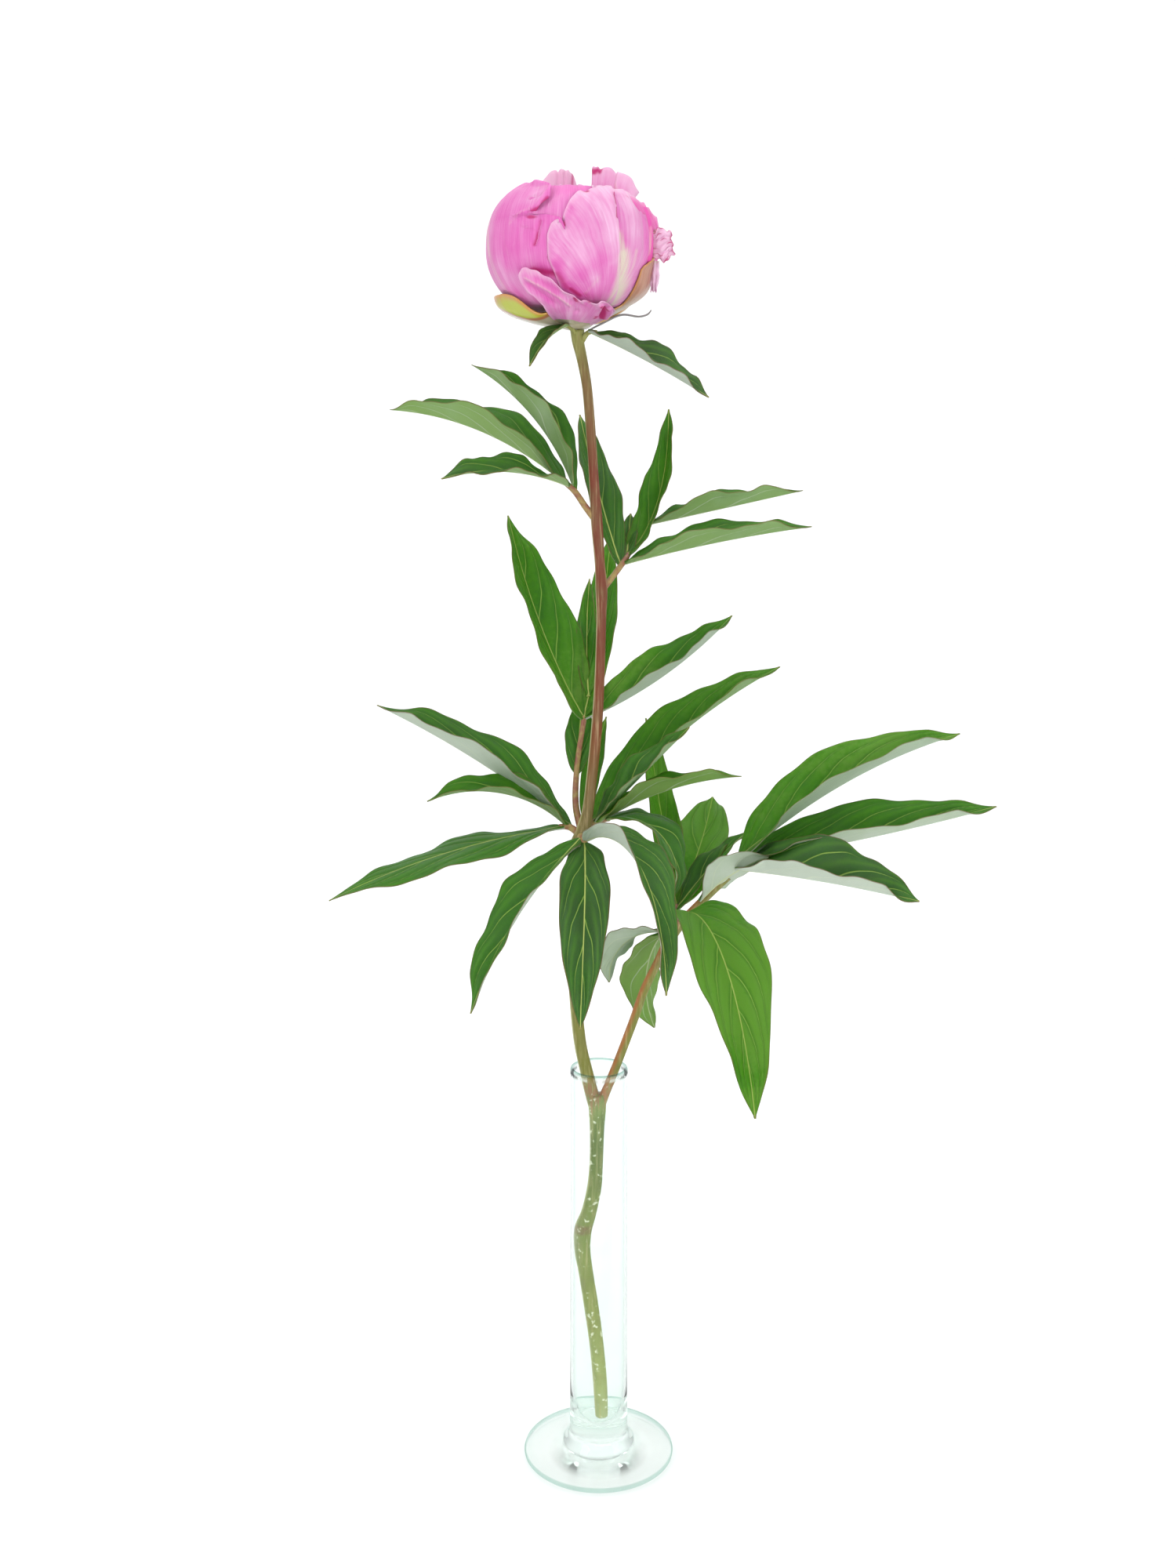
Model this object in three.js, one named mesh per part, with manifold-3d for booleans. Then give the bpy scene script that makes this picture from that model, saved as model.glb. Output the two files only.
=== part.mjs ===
// A cut peony, half open, standing in a slim clear glass bud vase with a wide flat foot.
// Millimetres, +Z up. The origin is the middle of the foot's underside, +X is to the
// right of the viewer, who stands on the -Y side.
//
// The vase is turned from one profile. The stem leans in it, forks below the mouth, and
// carries compound leaves whose leaflets are folded blades grown from their midribs.
// The flower is a ball of overlapping petals on a calyx of cupped sepals.
import * as THREE from "three";
import { mergeVertices } from "three/addons/utils/BufferGeometryUtils.js";
import Module from "manifold-3d";

const wasm = await Module();
wasm.setup();

const DEGREE = Math.PI / 180;
const CLEARANCE = 0.3; // between pieces that touch on the real plant

// Vase
const VASE_HEIGHT = 190;
const FOOT_RADIUS = 35;
const FOOT_EDGE = 3.2;
const TUBE_RADIUS_LOW = 13.6;
const TUBE_RADIUS_HIGH = 13;
const WALL = 1.4;
const FLOOR_HEIGHT = 16.6;
const VASE_SEGMENTS = 28;

// Plant
const BLADE_THICKNESS = 0.8;
const STATION_SPACING = 12;
const MOST_STATIONS = 9;
const FEWEST_STATIONS = 5;
const STALK_HALF_WIDTH = 0.9;
const STALK_HALF_THICKNESS = 0.75;
const STEM_SIDES = 8;
const PETIOLE_SIDES = 6;
const RECEPTACLE_SIDES = 12;

// Flower: the ball that the petals lie on
const BLOOM_CENTRE = new THREE.Vector3(-12.5, 0, 545.5);
const BLOOM_RADIUS = 35.5;
const BLOOM_HEIGHT_ABOVE = 29.2;
const BLOOM_HEIGHT_BELOW = 28.5;
const BLOOM_SQUARENESS = 0.8; // under 1 fills out the shoulder above the middle
const CORE_SCALE = 0.84;
const CORE_SIDES = 14;
const CORE_RINGS = 9;
const PETAL_THICKNESS = 0.9;
const SEPAL_THICKNESS = 1.3;

// Solids and meshes

function solid(geometry) {
  const bare = geometry.clone();
  bare.deleteAttribute("normal");
  bare.deleteAttribute("uv");
  const merged = mergeVertices(bare, 1e-4);
  return new wasm.Manifold(
    new wasm.Mesh({
      numProp: 3,
      vertProperties: new Float32Array(merged.attributes.position.array),
      triVerts: new Uint32Array(merged.index.array),
    }),
  );
}

function join(solids) {
  return solids.reduce((sum, one) => sum.add(one));
}

// The largest body of a solid. A cut can leave a loose scrap beside it, and a join can
// seal a hollow inside it: both go.
function largest(body) {
  const bodies = body.decompose();
  return bodies.reduce((best, one) => (one.volume() > best.volume() ? one : best));
}

function meshOf(name, body, look) {
  const { vertProperties, triVerts } = body.getMesh();
  const geometry = new THREE.BufferGeometry();
  geometry.setAttribute("position", new THREE.BufferAttribute(vertProperties, 3));
  geometry.setIndex(new THREE.BufferAttribute(triVerts, 1));
  const mesh = new THREE.Mesh(geometry, new THREE.MeshStandardMaterial(look));
  mesh.name = name;
  return mesh;
}

// A closed sheet: place(u, v) gives the point on its middle face and the half thickness
// there as a vector. u runs -1 to 1 across and v runs 0 to 1 along.
function sheet(place, across, along) {
  const positions = [];
  const faces = [];
  const columns = across + 1;
  const count = columns * (along + 1);
  for (const side of [1, -1]) {
    for (let row = 0; row <= along; row++) {
      for (let column = 0; column <= across; column++) {
        const { point, half } = place((2 * column) / across - 1, row / along);
        positions.push(...point.clone().addScaledVector(half, side).toArray());
      }
    }
  }
  const quad = (a, b, c, d) => faces.push(a, b, c, a, c, d);
  for (let row = 0; row < along; row++) {
    for (let column = 0; column < across; column++) {
      const a = row * columns + column;
      const b = a + 1;
      const c = b + columns;
      const d = a + columns;
      quad(a, b, c, d);
      faces.push(count + a, count + c, count + b, count + a, count + d, count + c);
    }
  }
  const rim = [];
  for (let column = 0; column < across; column++) rim.push(column);
  for (let row = 0; row < along; row++) rim.push(row * columns + across);
  for (let column = across; column > 0; column--) rim.push(along * columns + column);
  for (let row = along; row > 0; row--) rim.push(row * columns);
  rim.forEach((here, i) => {
    const next = rim[(i + 1) % rim.length];
    quad(here, count + here, count + next, next);
  });
  const geometry = new THREE.BufferGeometry();
  geometry.setAttribute("position", new THREE.Float32BufferAttribute(positions, 3));
  geometry.setIndex(faces);
  const made = solid(geometry);
  if (made.volume() > 0) return made;
  for (let i = 0; i < faces.length; i += 3) {
    [faces[i + 1], faces[i + 2]] = [faces[i + 2], faces[i + 1]];
  }
  geometry.setIndex(faces);
  return solid(geometry);
}

// A line of points with both its ends moved outward
function lengthened(points, distance) {
  const line = points.map(([x, y, z]) => new THREE.Vector3(x, y, z));
  const outward = (end, inner) => end.clone().sub(inner).setLength(distance);
  line.at(-1).add(outward(line.at(-1), line.at(-2)));
  line[0].add(outward(line[0], line[1]));
  return line;
}

// A round stalk through the given points, [x, y, z, radius] each. A section of radius 1
// is run along the curve, then each ring is scaled to the radius at its place. A stalk
// that is grown is thicker and longer all round by that much.
function stalk(points, sides, spacing, grow = 0) {
  const path = new THREE.CatmullRomCurve3(lengthened(points, grow), false, "centripetal");
  const steps = Math.max(2, Math.round(path.getLength() / spacing));
  const circle = new THREE.Shape().absarc(0, 0, 1, 0, 2 * Math.PI, false);
  const geometry = new THREE.ExtrudeGeometry(circle, {
    steps,
    curveSegments: sides / 2,
    bevelEnabled: false,
    extrudePath: path,
  });
  const centres = path.getSpacedPoints(steps);
  const radii = centres.map((_, i) => {
    const along = path.getUtoTmapping(i / steps) * (points.length - 1);
    const low = Math.min(Math.floor(along), points.length - 2);
    return THREE.MathUtils.lerp(points[low][3], points[low + 1][3], along - low) + grow;
  });
  const vertex = new THREE.Vector3();
  const position = geometry.attributes.position;
  for (let i = 0; i < position.count; i++) {
    vertex.fromBufferAttribute(position, i);
    let nearest = 0;
    centres.forEach((centre, k) => {
      if (centre.distanceTo(vertex) < centres[nearest].distanceTo(vertex)) nearest = k;
    });
    vertex.sub(centres[nearest]).multiplyScalar(radii[nearest]).add(centres[nearest]);
    position.setXYZ(i, vertex.x, vertex.y, vertex.z);
  }
  return solid(geometry);
}

// Vase: outer profile up from the foot, over the lip and down the inside to the floor

function vaseSolid() {
  const tubeInside = (radius) => radius - WALL;
  const profile = [
    [0, 0],
    [FOOT_RADIUS - 1.2, 0],
    [FOOT_RADIUS, 1],
    [FOOT_RADIUS, FOOT_EDGE - 0.9],
    [FOOT_RADIUS - 1, FOOT_EDGE],
    [26, 4.2],
    [19, 5.4],
    [16.4, 6.6],
    [16.1, 8],
    [14.6, 9.6],
    [TUBE_RADIUS_LOW, 12],
    [13.4, 60],
    [13.2, 120],
    [TUBE_RADIUS_HIGH, VASE_HEIGHT - 3],
    [TUBE_RADIUS_HIGH - 0.1, VASE_HEIGHT - 1],
    [TUBE_RADIUS_HIGH - 0.7, VASE_HEIGHT],
    [tubeInside(TUBE_RADIUS_HIGH) + 0.1, VASE_HEIGHT - 0.6],
    [tubeInside(TUBE_RADIUS_HIGH), VASE_HEIGHT - 3],
    [tubeInside(13.2), 120],
    [tubeInside(13.4), 60],
    [tubeInside(TUBE_RADIUS_LOW), 42],
    [11.6, 30],
    [10.4, 22],
    [8, 17.6],
    [5.5, FLOOR_HEIGHT],
    [0, FLOOR_HEIGHT],
  ];
  const points = profile.map(([radius, height]) => new THREE.Vector2(radius, height));
  const geometry = new THREE.LatheGeometry(points, VASE_SEGMENTS);
  geometry.rotateX(90 * DEGREE);
  return solid(geometry);
}

// Stem: [x, y, z, radius] from the cut end up. The lower stem leans left to a swollen
// node against the glass, turns back, and forks below the mouth.

const LOWER_STEM = [
  [1.6, 0, FLOOR_HEIGHT + CLEARANCE, 3.1],
  [0.7, 0, 36, 3.3],
  [-1, 0, 55, 3.3],
  [-3.5, 0, 74, 3.4],
  [-6.2, 0, 92, 3.4],
  [-7.5, 0, 101, 3.7],
  [-7.4, 0, 111, 4.1],
  [-4.6, 0, 120, 3.5],
  [-2, 0, 133, 3.3],
  [-1.2, 0, 145, 3.1],
  [-0.9, 0, 160, 3.3],
  [-0.8, 0, 172, 4],
  [-1, 0, 177, 3.6],
];
const FLOWERING_STEM = [
  [-0.9, 0, 168, 3],
  [-3.6, 0, 179, 3.1],
  [-5.7, 0, 188, 2.9],
  [-8.2, 0, 199.4, 2.8],
  [-9.8, 0, 213, 2.8],
  [-11.2, 0, 232, 2.7],
  [-12, 0, 256, 2.6],
  [-12, 0, 280, 2.6],
  [-10.4, 0, 292, 2.9],
  [-7.2, 0, 299, 3.2],
  [-5.3, 0, 307, 2.6],
  [-2.9, 0, 327, 2.4],
  [-1.2, 0, 345, 2.4],
  [0, 0, 366, 2.2],
  [0.8, 0, 396, 2.2],
  [0.8, 0, 405, 2.6],
  [0.1, 0, 416, 2.2],
  [-1.3, 0, 434.5, 2.5],
  [-2.5, 0, 452, 2.1],
  [-4.4, 0, 479, 2.1],
  [-5.7, 0, 492, 2.1],
  [-7.8, 0, 503, 2.3],
  [-9.3, 0, 509.5, 2.6],
  [-9.6, 0, 513.8, 3],
];
const RIGHT_STEM = [
  [-0.6, 0, 168, 2.4],
  [3.4, 0, 178.9, 2.1],
  [7.1, 0, 188.2, 2],
  [11.2, 0, 199.4, 1.95],
  [15.8, 0, 212.3, 1.95],
  [20.5, 0, 226.3, 1.95],
  [26.4, 0, 239, 1.95],
  [33.6, 0, 253, 2.5],
  [41.6, 0, 262.6, 1.9],
  [50, 0, 271.2, 1.8],
  [57.5, 0, 278.3, 1.7],
];

function stemSolid(grow = 0) {
  return join([
    stalk(LOWER_STEM, STEM_SIDES, 8, grow),
    stalk(FLOWERING_STEM, STEM_SIDES, 9, grow),
    stalk(RIGHT_STEM, STEM_SIDES, 10, grow),
  ]);
}

// Leaflets. Each grows from its base along a midrib: azimuth is its heading (0 to the
// right, 90 away from the viewer), rise its slope at the base, droop how far it sinks
// from that slope by the tip, and sweep how far it turns. fold lifts both halves of the
// blade from the midrib, and roll turns it about the midrib, left side up. Degrees.

const RIB_STEPS = 72;
const CROWDING = 1.15; // above 1 the cross sections crowd toward the base
const HALVES_APART = 1.7; // how far the ripple of one half runs ahead of the other

function midrib({ base, azimuth, rise, length, droop = 0, sweep = 0, bend = 1 }) {
  const points = [new THREE.Vector3(...base)];
  const headings = [];
  for (let i = 0; i <= RIB_STEPS; i++) {
    const t = Math.min(1, (i + 0.5) / RIB_STEPS);
    const a = (azimuth + sweep * t) * DEGREE;
    const e = (rise - droop * t ** bend) * DEGREE;
    const forward = new THREE.Vector3(
      Math.cos(e) * Math.cos(a),
      Math.cos(e) * Math.sin(a),
      Math.sin(e),
    );
    const side = new THREE.Vector3(-Math.sin(a), Math.cos(a), 0);
    const normal = new THREE.Vector3().crossVectors(forward, side);
    headings.push({ forward, side, normal });
    points.push(points[i].clone().addScaledVector(forward, length / RIB_STEPS));
  }
  return { points, headings };
}

function ribPoint(leaf, t) {
  return midrib(leaf).points[Math.round(t * RIB_STEPS)].toArray();
}

function mix(first, share, second, otherShare) {
  return first.clone().multiplyScalar(share).addScaledVector(second, otherShare);
}

// Half width along the blade, 0 to 1: widest before the middle, drawn out to the tip
function bladeShape(t, broad = 0.75, drawn = 1) {
  const peak = broad / (broad + drawn);
  const top = peak ** broad * (1 - peak) ** drawn;
  return (t ** broad * (1 - t) ** drawn) / top;
}

// The blade leaves its base flat, is folded and rolled further along, and is flat again at
// the tip. It is thickest at the base, where it is as thick as a stalk.
function leaflet(leaf) {
  const { width, fold = 36, roll = 0, wave = 1.2, waves = 2.5, phase = 0 } = leaf;
  const { points, headings } = midrib(leaf);
  const place = (u, v) => {
    const t = v ** CROWDING;
    const index = Math.round(t * RIB_STEPS);
    const { side, normal } = headings[index];
    const turn = roll * Math.min(1, 3 * t) * DEGREE;
    const across = mix(side, Math.cos(turn), normal, Math.sin(turn));
    const up = mix(normal, Math.cos(turn), side, -Math.sin(turn));
    const halfWidth = (width / 2) * bladeShape(t, leaf.broad, leaf.drawn);
    const reach = Math.max(halfWidth, STALK_HALF_WIDTH * (1 - 0.6 * t));
    const angle = fold * Math.min(1, 5 * t, 6 * (1 - t)) * DEGREE;
    const hand = Math.sign(-u);
    const blade = mix(across, hand * Math.cos(angle), up, Math.sin(angle));
    const face = mix(up, Math.cos(angle), across, -hand * Math.sin(angle));
    const start = phase + (u > 0 ? HALVES_APART : 0);
    const ripple = wave * u * u * Math.sin(2 * Math.PI * waves * t + start);
    const point = points[index].clone();
    point.addScaledVector(blade, Math.abs(u) * reach);
    point.addScaledVector(up, ripple * Math.min(1, halfWidth / 6));
    const thin = Math.max(BLADE_THICKNESS / 2, STALK_HALF_THICKNESS * (1 - 7 * t));
    const half = u === 0 ? up.multiplyScalar(thin / Math.cos(angle)) : face.multiplyScalar(thin);
    return { point, half };
  };
  const stations = THREE.MathUtils.clamp(
    Math.round(leaf.length / STATION_SPACING),
    FEWEST_STATIONS,
    MOST_STATIONS,
  );
  return sheet(place, 4, stations);
}

// Upper left leaf, three leaflets on a short petiole
const UPPER_LEFT_PETIOLE = [
  [-1.3, 0, 434.5, 1.6],
  [-6, 0, 440.5, 1.4],
  [-11, 0.5, 447.5, 1.3],
  [-17, 0, 452.6, 1.1],
];
const UPPER_LEFT = [
  {
    base: [-15, 0, 451], azimuth: 153, rise: 37, length: 96, droop: 33,
    width: 30, fold: 48, roll: -12,
  },
  {
    base: [-10.5, 2, 448], azimuth: 170, rise: 70, length: 71, droop: 41,
    width: 26, fold: 45, roll: -12,
  },
  {
    base: [-13, -1, 449.5], azimuth: 208, rise: 20, length: 60, droop: 36,
    width: 22, fold: 22, roll: -22,
  },
];

// Upper right leaf on a reddish petiole that reaches back past the stem
const UPPER_RIGHT_PETIOLE = [
  [0.8, 0, 405, 1.6],
  [5.5, 4, 410.5, 1.3],
  [10.5, 9, 417, 1.3],
  [13, 13, 420.5, 1.1],
];
const UPPER_RIGHT_ARCHED = {
  base: [12.5, 12, 420], azimuth: 51, rise: 31, length: 77, droop: -61, sweep: 19,
  width: 18, fold: 46,
};
const UPPER_RIGHT = [
  {
    base: [9, 8, 415.5], azimuth: 117, rise: 56, length: 84, droop: 5, sweep: -12,
    width: 18, fold: 32,
  },
  { base: [12, 11, 419], azimuth: 84, rise: 43, length: 28, width: 9, fold: 25 },
  UPPER_RIGHT_ARCHED,
  {
    base: ribPoint(UPPER_RIGHT_ARCHED, 0.28), azimuth: 2, rise: 12, length: 70,
    width: 22, fold: 42,
  },
  {
    base: [11, 8.5, 416.5], azimuth: 0, rise: 15, length: 83, droop: 8,
    width: 25, fold: 40, roll: 8,
  },
];

// Middle leaf: a winged petiole behind the stem with two uprights and one to the right
const MIDDLE_PETIOLE = [
  [-8.2, 0.5, 300, 1.7],
  [-10.4, 6, 309, 1.5],
  [-10, 15, 325, 1.3],
  [-6.6, 22.5, 347.5, 1.2],
];
const MIDDLE_BACK = {
  base: [-6.8, 22, 346.5], azimuth: 76, rise: 46, length: 104, droop: -12, sweep: 5,
  width: 22, fold: 38,
};
const MIDDLE = [
  {
    base: [-10, 14, 322], azimuth: 84, rise: 60, length: 42, droop: 8,
    width: 13, fold: 15, wave: 0.4,
  },
  {
    base: [-6.8, 22, 346], azimuth: 138, rise: 52, length: 104, droop: -20, sweep: -3,
    width: 30, fold: 36,
  },
  MIDDLE_BACK,
  {
    base: ribPoint(MIDDLE_BACK, 0.12), azimuth: 97, rise: 61, length: 60, sweep: -16,
    width: 12, fold: 34,
  },
  {
    base: [-6.8, 22, 346.5], azimuth: 21, rise: 19, length: 87, droop: -25,
    width: 29, fold: 44, roll: 20,
  },
];

// Leaves of the big node, where the stem turns
const LOWER_LEFT_PETIOLE = [
  [-8, 0, 297, 1.8],
  [-13, 1, 300.5, 1.5],
  [-17.5, -1.5, 301.3, 1.2],
];
const LOWER_LEFT = [
  {
    base: [-12.5, 2, 300.5], azimuth: 171, rise: 38, length: 103, droop: 14,
    width: 30, fold: 47, roll: -9,
  },
  {
    base: [-14, 1, 301], azimuth: 183, rise: 45, length: 67, droop: 68, sweep: 3,
    width: 22, fold: 34, roll: -14,
  },
  {
    base: [-15.5, -1, 301], azimuth: 194, rise: -5, length: 108, droop: 20, sweep: -2,
    width: 28, fold: -6, roll: -11,
  },
];

const LOWER_FRONT_PETIOLE = [
  [-8.4, 0, 297, 1.8],
  [-7.6, -6, 297, 1.6],
  [-6.6, -12.5, 296, 1.3],
];
const LOWER_FRONT = [
  {
    base: [-8, -8, 297], azimuth: 228, rise: -25, length: 94, droop: 39, sweep: -5,
    width: 26, fold: 34,
  },
  {
    base: [-6.6, -11, 296], azimuth: 272, rise: -17, length: 94, droop: 56, sweep: -8,
    width: 24, fold: 28,
  },
  {
    base: [-6.4, -10, 296.5], azimuth: 299, rise: 26, length: 112, droop: 111, sweep: -15,
    width: 21, fold: 40, roll: -20,
  },
];

const LOWER_RIGHT_PETIOLE = [
  [-6.5, 0, 299, 1.8],
  [-2, 3, 302.5, 1.5],
  [4.5, 1, 304.5, 1.2],
];
const LOWER_RIGHT = [
  {
    base: [-2.5, 3.5, 302.5], azimuth: 32, rise: 44, length: 120, droop: 22, sweep: -6,
    width: 30, fold: 44, roll: 14,
  },
  { base: [-2, 2, 302.8], azimuth: -8, rise: 46, length: 60, width: 19, fold: 40, roll: 28 },
  {
    base: [-1, 1, 302.5], azimuth: -2, rise: 34, length: 68, droop: 31,
    width: 22, fold: 38, roll: 6,
  },
  {
    base: [3.5, 1, 304], azimuth: 336, rise: 21, length: 58, droop: 137, sweep: 3,
    width: 21, fold: 16,
  },
];

const NARROW_PETIOLE = [
  [-7, 0, 299, 1.5],
  [-7, 7, 300, 1.2],
  [-6.6, 12, 303, 1.1],
];
const NARROW = [
  {
    base: [-6.8, 11, 302], azimuth: 76, rise: 54, length: 56, droop: 9, sweep: -5,
    width: 10, fold: 25, wave: 0.5,
  },
];

// Leaves of the right stem: three leaflets at its end, the rest at its node
const END_PETIOLE = [
  [56.5, 0, 277.5, 1.7],
  [60, 2.5, 282.2, 1.5],
  [65, 7, 286.3, 1.2],
];
const END_LEAF = [
  {
    base: [62.5, 6.5, 284.8], azimuth: 16, rise: 39, length: 122, droop: 26,
    width: 38, fold: 46, roll: 28,
  },
  {
    base: [62.5, 5, 284.5], azimuth: 4, rise: 8, length: 120, droop: -6, sweep: 2,
    width: 36, fold: 45, roll: 23,
  },
  {
    base: [59.5, 2, 281.7], azimuth: 337, rise: -1, length: 84, droop: 8,
    width: 41, fold: 50, roll: 22,
  },
];

const HANGING_PETIOLE = [
  [33.8, -0.8, 253.6, 1.5],
  [35, -3, 257.5, 1.4],
  [37, -8, 262.5, 1.2],
];
const HANGING_LEAF = [
  {
    base: [36, -5, 260], azimuth: 285, rise: 51, length: 134, droop: 114, sweep: -6, bend: 0.5,
    width: 35, fold: 24, wave: 2,
  },
];

const UPRIGHT_PETIOLE = [
  [33.4, 1, 253.8, 1.5],
  [34, 6, 259, 1.4],
  [36, 13, 264, 1.2],
];
const UPRIGHT_LEAF = [
  { base: [35, 10, 262], azimuth: 66, rise: 30, length: 79, sweep: 12, width: 28, fold: 34 },
  {
    base: [34.6, 8, 260.5], azimuth: 37, rise: 45, length: 55, droop: 20, sweep: 3,
    width: 15, fold: 30,
  },
  { base: [35, 10, 262], azimuth: 105, rise: 59, length: 94, width: 17, fold: 36 },
];

const UNDER_PETIOLE = [
  [32.6, 0.4, 251.3, 1.6],
  [30.5, 5, 252, 1.4],
  [28, 9, 250.5, 1.1],
];
const UNDER_LEAF = [
  { base: [29, 7, 251], azimuth: 136, rise: -46, length: 48, droop: 76, width: 24, fold: 16 },
  {
    base: [29.5, 6, 251.5], azimuth: 165, rise: 5, length: 42, droop: 100, sweep: -8,
    width: 18, fold: 16,
  },
];

// Bract leaves just below the flower, and a dried hook of one
const LEFT_BRACT_STALK = [
  [-9, 0, 510.5, 1.3],
  [-12.3, -3.4, 512.3, 1.1],
  [-15.5, -7.5, 513, 1],
];
const LEFT_BRACT = [
  {
    base: [-14, -6, 513], azimuth: 236, rise: -17, length: 34, droop: 36,
    width: 10, fold: 32, wave: 0.4,
  },
];
const RIGHT_BRACT_STALK = [
  [-8, 0, 508, 1.6],
  [-4.4, -3, 510, 1.3],
  [-1.4, -5, 510, 1.1],
];
const RIGHT_BRACT = [
  {
    base: [-3.6, -3.8, 510.2], azimuth: 333, rise: -22, length: 62, droop: 8,
    width: 21, fold: 34, roll: 10,
  },
];
const HOOK_BRACT = [
  [-7.5, 1, 511, 0.9],
  [-3.5, 5, 513.3, 0.8],
  [3, 8, 515.8, 0.8],
  [10, 8.5, 519, 0.7],
  [16, 7, 518.4, 0.6],
  [21, 6, 521.4, 0.5],
];

function leafSolid(petiole, leaflets, stemRoom) {
  const pieces = leaflets.map(leaflet);
  pieces.push(stalk(petiole, PETIOLE_SIDES, 4));
  return largest(join(pieces).subtract(stemRoom));
}

// A point of the flower's ball: theta from its bottom, phi round it, as a share of its size
function onBall(theta, phi, scale) {
  const above = Math.cos(theta) < 0;
  const power = above ? BLOOM_SQUARENESS : 1;
  const level = Math.abs(Math.cos(theta)) ** power;
  const height = above ? BLOOM_HEIGHT_ABOVE * level : -BLOOM_HEIGHT_BELOW * level;
  const radius = BLOOM_RADIUS * Math.sin(theta) ** power;
  return new THREE.Vector3(radius * Math.cos(phi), radius * Math.sin(phi), height)
    .multiplyScalar(scale)
    .add(BLOOM_CENTRE);
}

// Petals and sepals lie on the ball. Their azimuth is the middle of the petal, span its
// half width, from and to the angles from the bottom of the ball where it begins and
// ends, tilt how much lower its left end is, layer its distance from the centre as a share
// of the ball, slant how far one side lies over and the other under, flare how far its
// rim leans out, and lobe how deep its rim is notched. Degrees, and millimetres for flare.

function petal(shape) {
  const { azimuth, span, from = 12, to, layer, slant = 0, flare = 0, tilt = 0 } = shape;
  const { lobe = 5, lobes = 1.5, phase = 0, thickness = PETAL_THICKNESS, emerge = 0.22 } = shape;
  const { root = CORE_SCALE - 0.05, across = 5, along = 6 } = shape;
  const place = (u, v) => {
    const round = Math.sqrt(1 - (0.95 * u) ** 4);
    const notch = lobe * (0.5 - 0.5 * Math.cos(2 * Math.PI * lobes * (u + phase)));
    const end = from + (to + tilt * u - from) * (0.4 + 0.6 * round) - notch;
    const theta = (from + (end - from) * v) * DEGREE;
    const widening = Math.min(1.6, 1 / Math.sin(Math.max(theta, 90 * DEGREE)));
    const wide = span * widening * (0.45 + 0.55 * Math.sin(Math.min(1, 1.5 * v) * 90 * DEGREE));
    const phi = (azimuth + u * wide) * DEGREE;
    const grown = THREE.MathUtils.smoothstep(v, 0, emerge);
    const rim = Math.max(0, v - 0.62) / 0.38;
    const lean = (flare * rim * rim) / BLOOM_RADIUS;
    const scale = root + (layer + slant * u - root) * grown + lean;
    const point = onBall(theta, phi, scale);
    const half = point.clone().sub(BLOOM_CENTRE).setLength(thickness / 2);
    return { point, half };
  };
  return sheet(place, across, along);
}

const SLANT = 0.03;
const PETALS = [
  // inner petals, closed over the core
  { azimuth: -112, span: 38, from: 80, to: 166, layer: 0.9, slant: 0.02, along: 5, lobe: 3 },
  { azimuth: -30, span: 38, from: 80, to: 163, layer: 0.9, slant: 0.02, along: 5, phase: 0.3 },
  { azimuth: 60, span: 38, from: 80, to: 166, layer: 0.9, slant: 0.02, along: 5, phase: 0.6 },
  { azimuth: 155, span: 38, from: 80, to: 163, layer: 0.9, slant: 0.02, along: 5, phase: 0.8 },
  // outer petals round the ball, the left one first
  { azimuth: 206, span: 42, to: 150, layer: 0.99, slant: SLANT, phase: 0.2 },
  { azimuth: -74, span: 36, to: 150, layer: 0.975, slant: SLANT, lobe: 6, lobes: 2, phase: 0.25 },
  { azimuth: -20, span: 34, to: 144, layer: 0.975, slant: SLANT, phase: 0.6 },
  { azimuth: 36, span: 34, to: 148, layer: 0.975, slant: SLANT, lobe: 6, phase: 0.5 },
  { azimuth: 90, span: 34, to: 150, layer: 0.975, slant: SLANT, phase: 0.1 },
  { azimuth: 146, span: 34, to: 147, layer: 0.975, slant: SLANT, phase: 0.8 },
  // curled petals that stand up at the top
  {
    azimuth: 105, span: 17, from: 115, to: 160, layer: 0.95, flare: 13, along: 4, lobe: 7,
    phase: 0.3,
  },
  {
    azimuth: 40, span: 20, from: 115, to: 155, layer: 0.95, flare: 11, along: 4, lobe: 8,
    phase: 0.5,
  },
  // guard petal folded out at the front, higher on its left
  {
    azimuth: -88, span: 34, to: 60, tilt: -10, layer: 1.035, flare: 11, lobe: 2, emerge: 0.35,
    across: 6, along: 5,
  },
  // small shrivelled petal on the right
  {
    azimuth: 6, span: 10, from: 88, to: 112, layer: 1.06, root: 0.93, flare: 6, lobe: 5,
    across: 4, along: 4,
  },
];

const SEPAL_ROOT = 0.9;
const SEPALS = [
  { azimuth: 212, span: 30, from: 8, to: 55, layer: 1.1, flare: 3, lobe: 1 },
  { azimuth: -12, span: 22, from: 8, to: 83, layer: 1.07, flare: 1, lobe: 1 },
  { azimuth: -84, span: 28, from: 8, to: 31, layer: 1.1, lobe: 1 },
  { azimuth: 58, span: 34, from: 8, to: 72, layer: 1.07, flare: 2, lobe: 2 },
  { azimuth: 132, span: 34, from: 8, to: 80, layer: 1.07, flare: 1.5, lobe: 2 },
];

function coreSolid() {
  const ball = new THREE.SphereGeometry(1, CORE_SIDES, CORE_RINGS);
  ball.rotateX(90 * DEGREE);
  const position = ball.attributes.position;
  for (let i = 0; i < position.count; i++) {
    const out = new THREE.Vector3().fromBufferAttribute(position, i);
    const theta = Math.acos(THREE.MathUtils.clamp(-out.z, -1, 1));
    const point = onBall(theta, Math.atan2(out.y, out.x), CORE_SCALE);
    position.setXYZ(i, point.x, point.y, point.z);
  }
  return solid(ball);
}

function bloomSolid() {
  return largest(join([coreSolid(), ...PETALS.map(petal)]));
}

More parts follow.
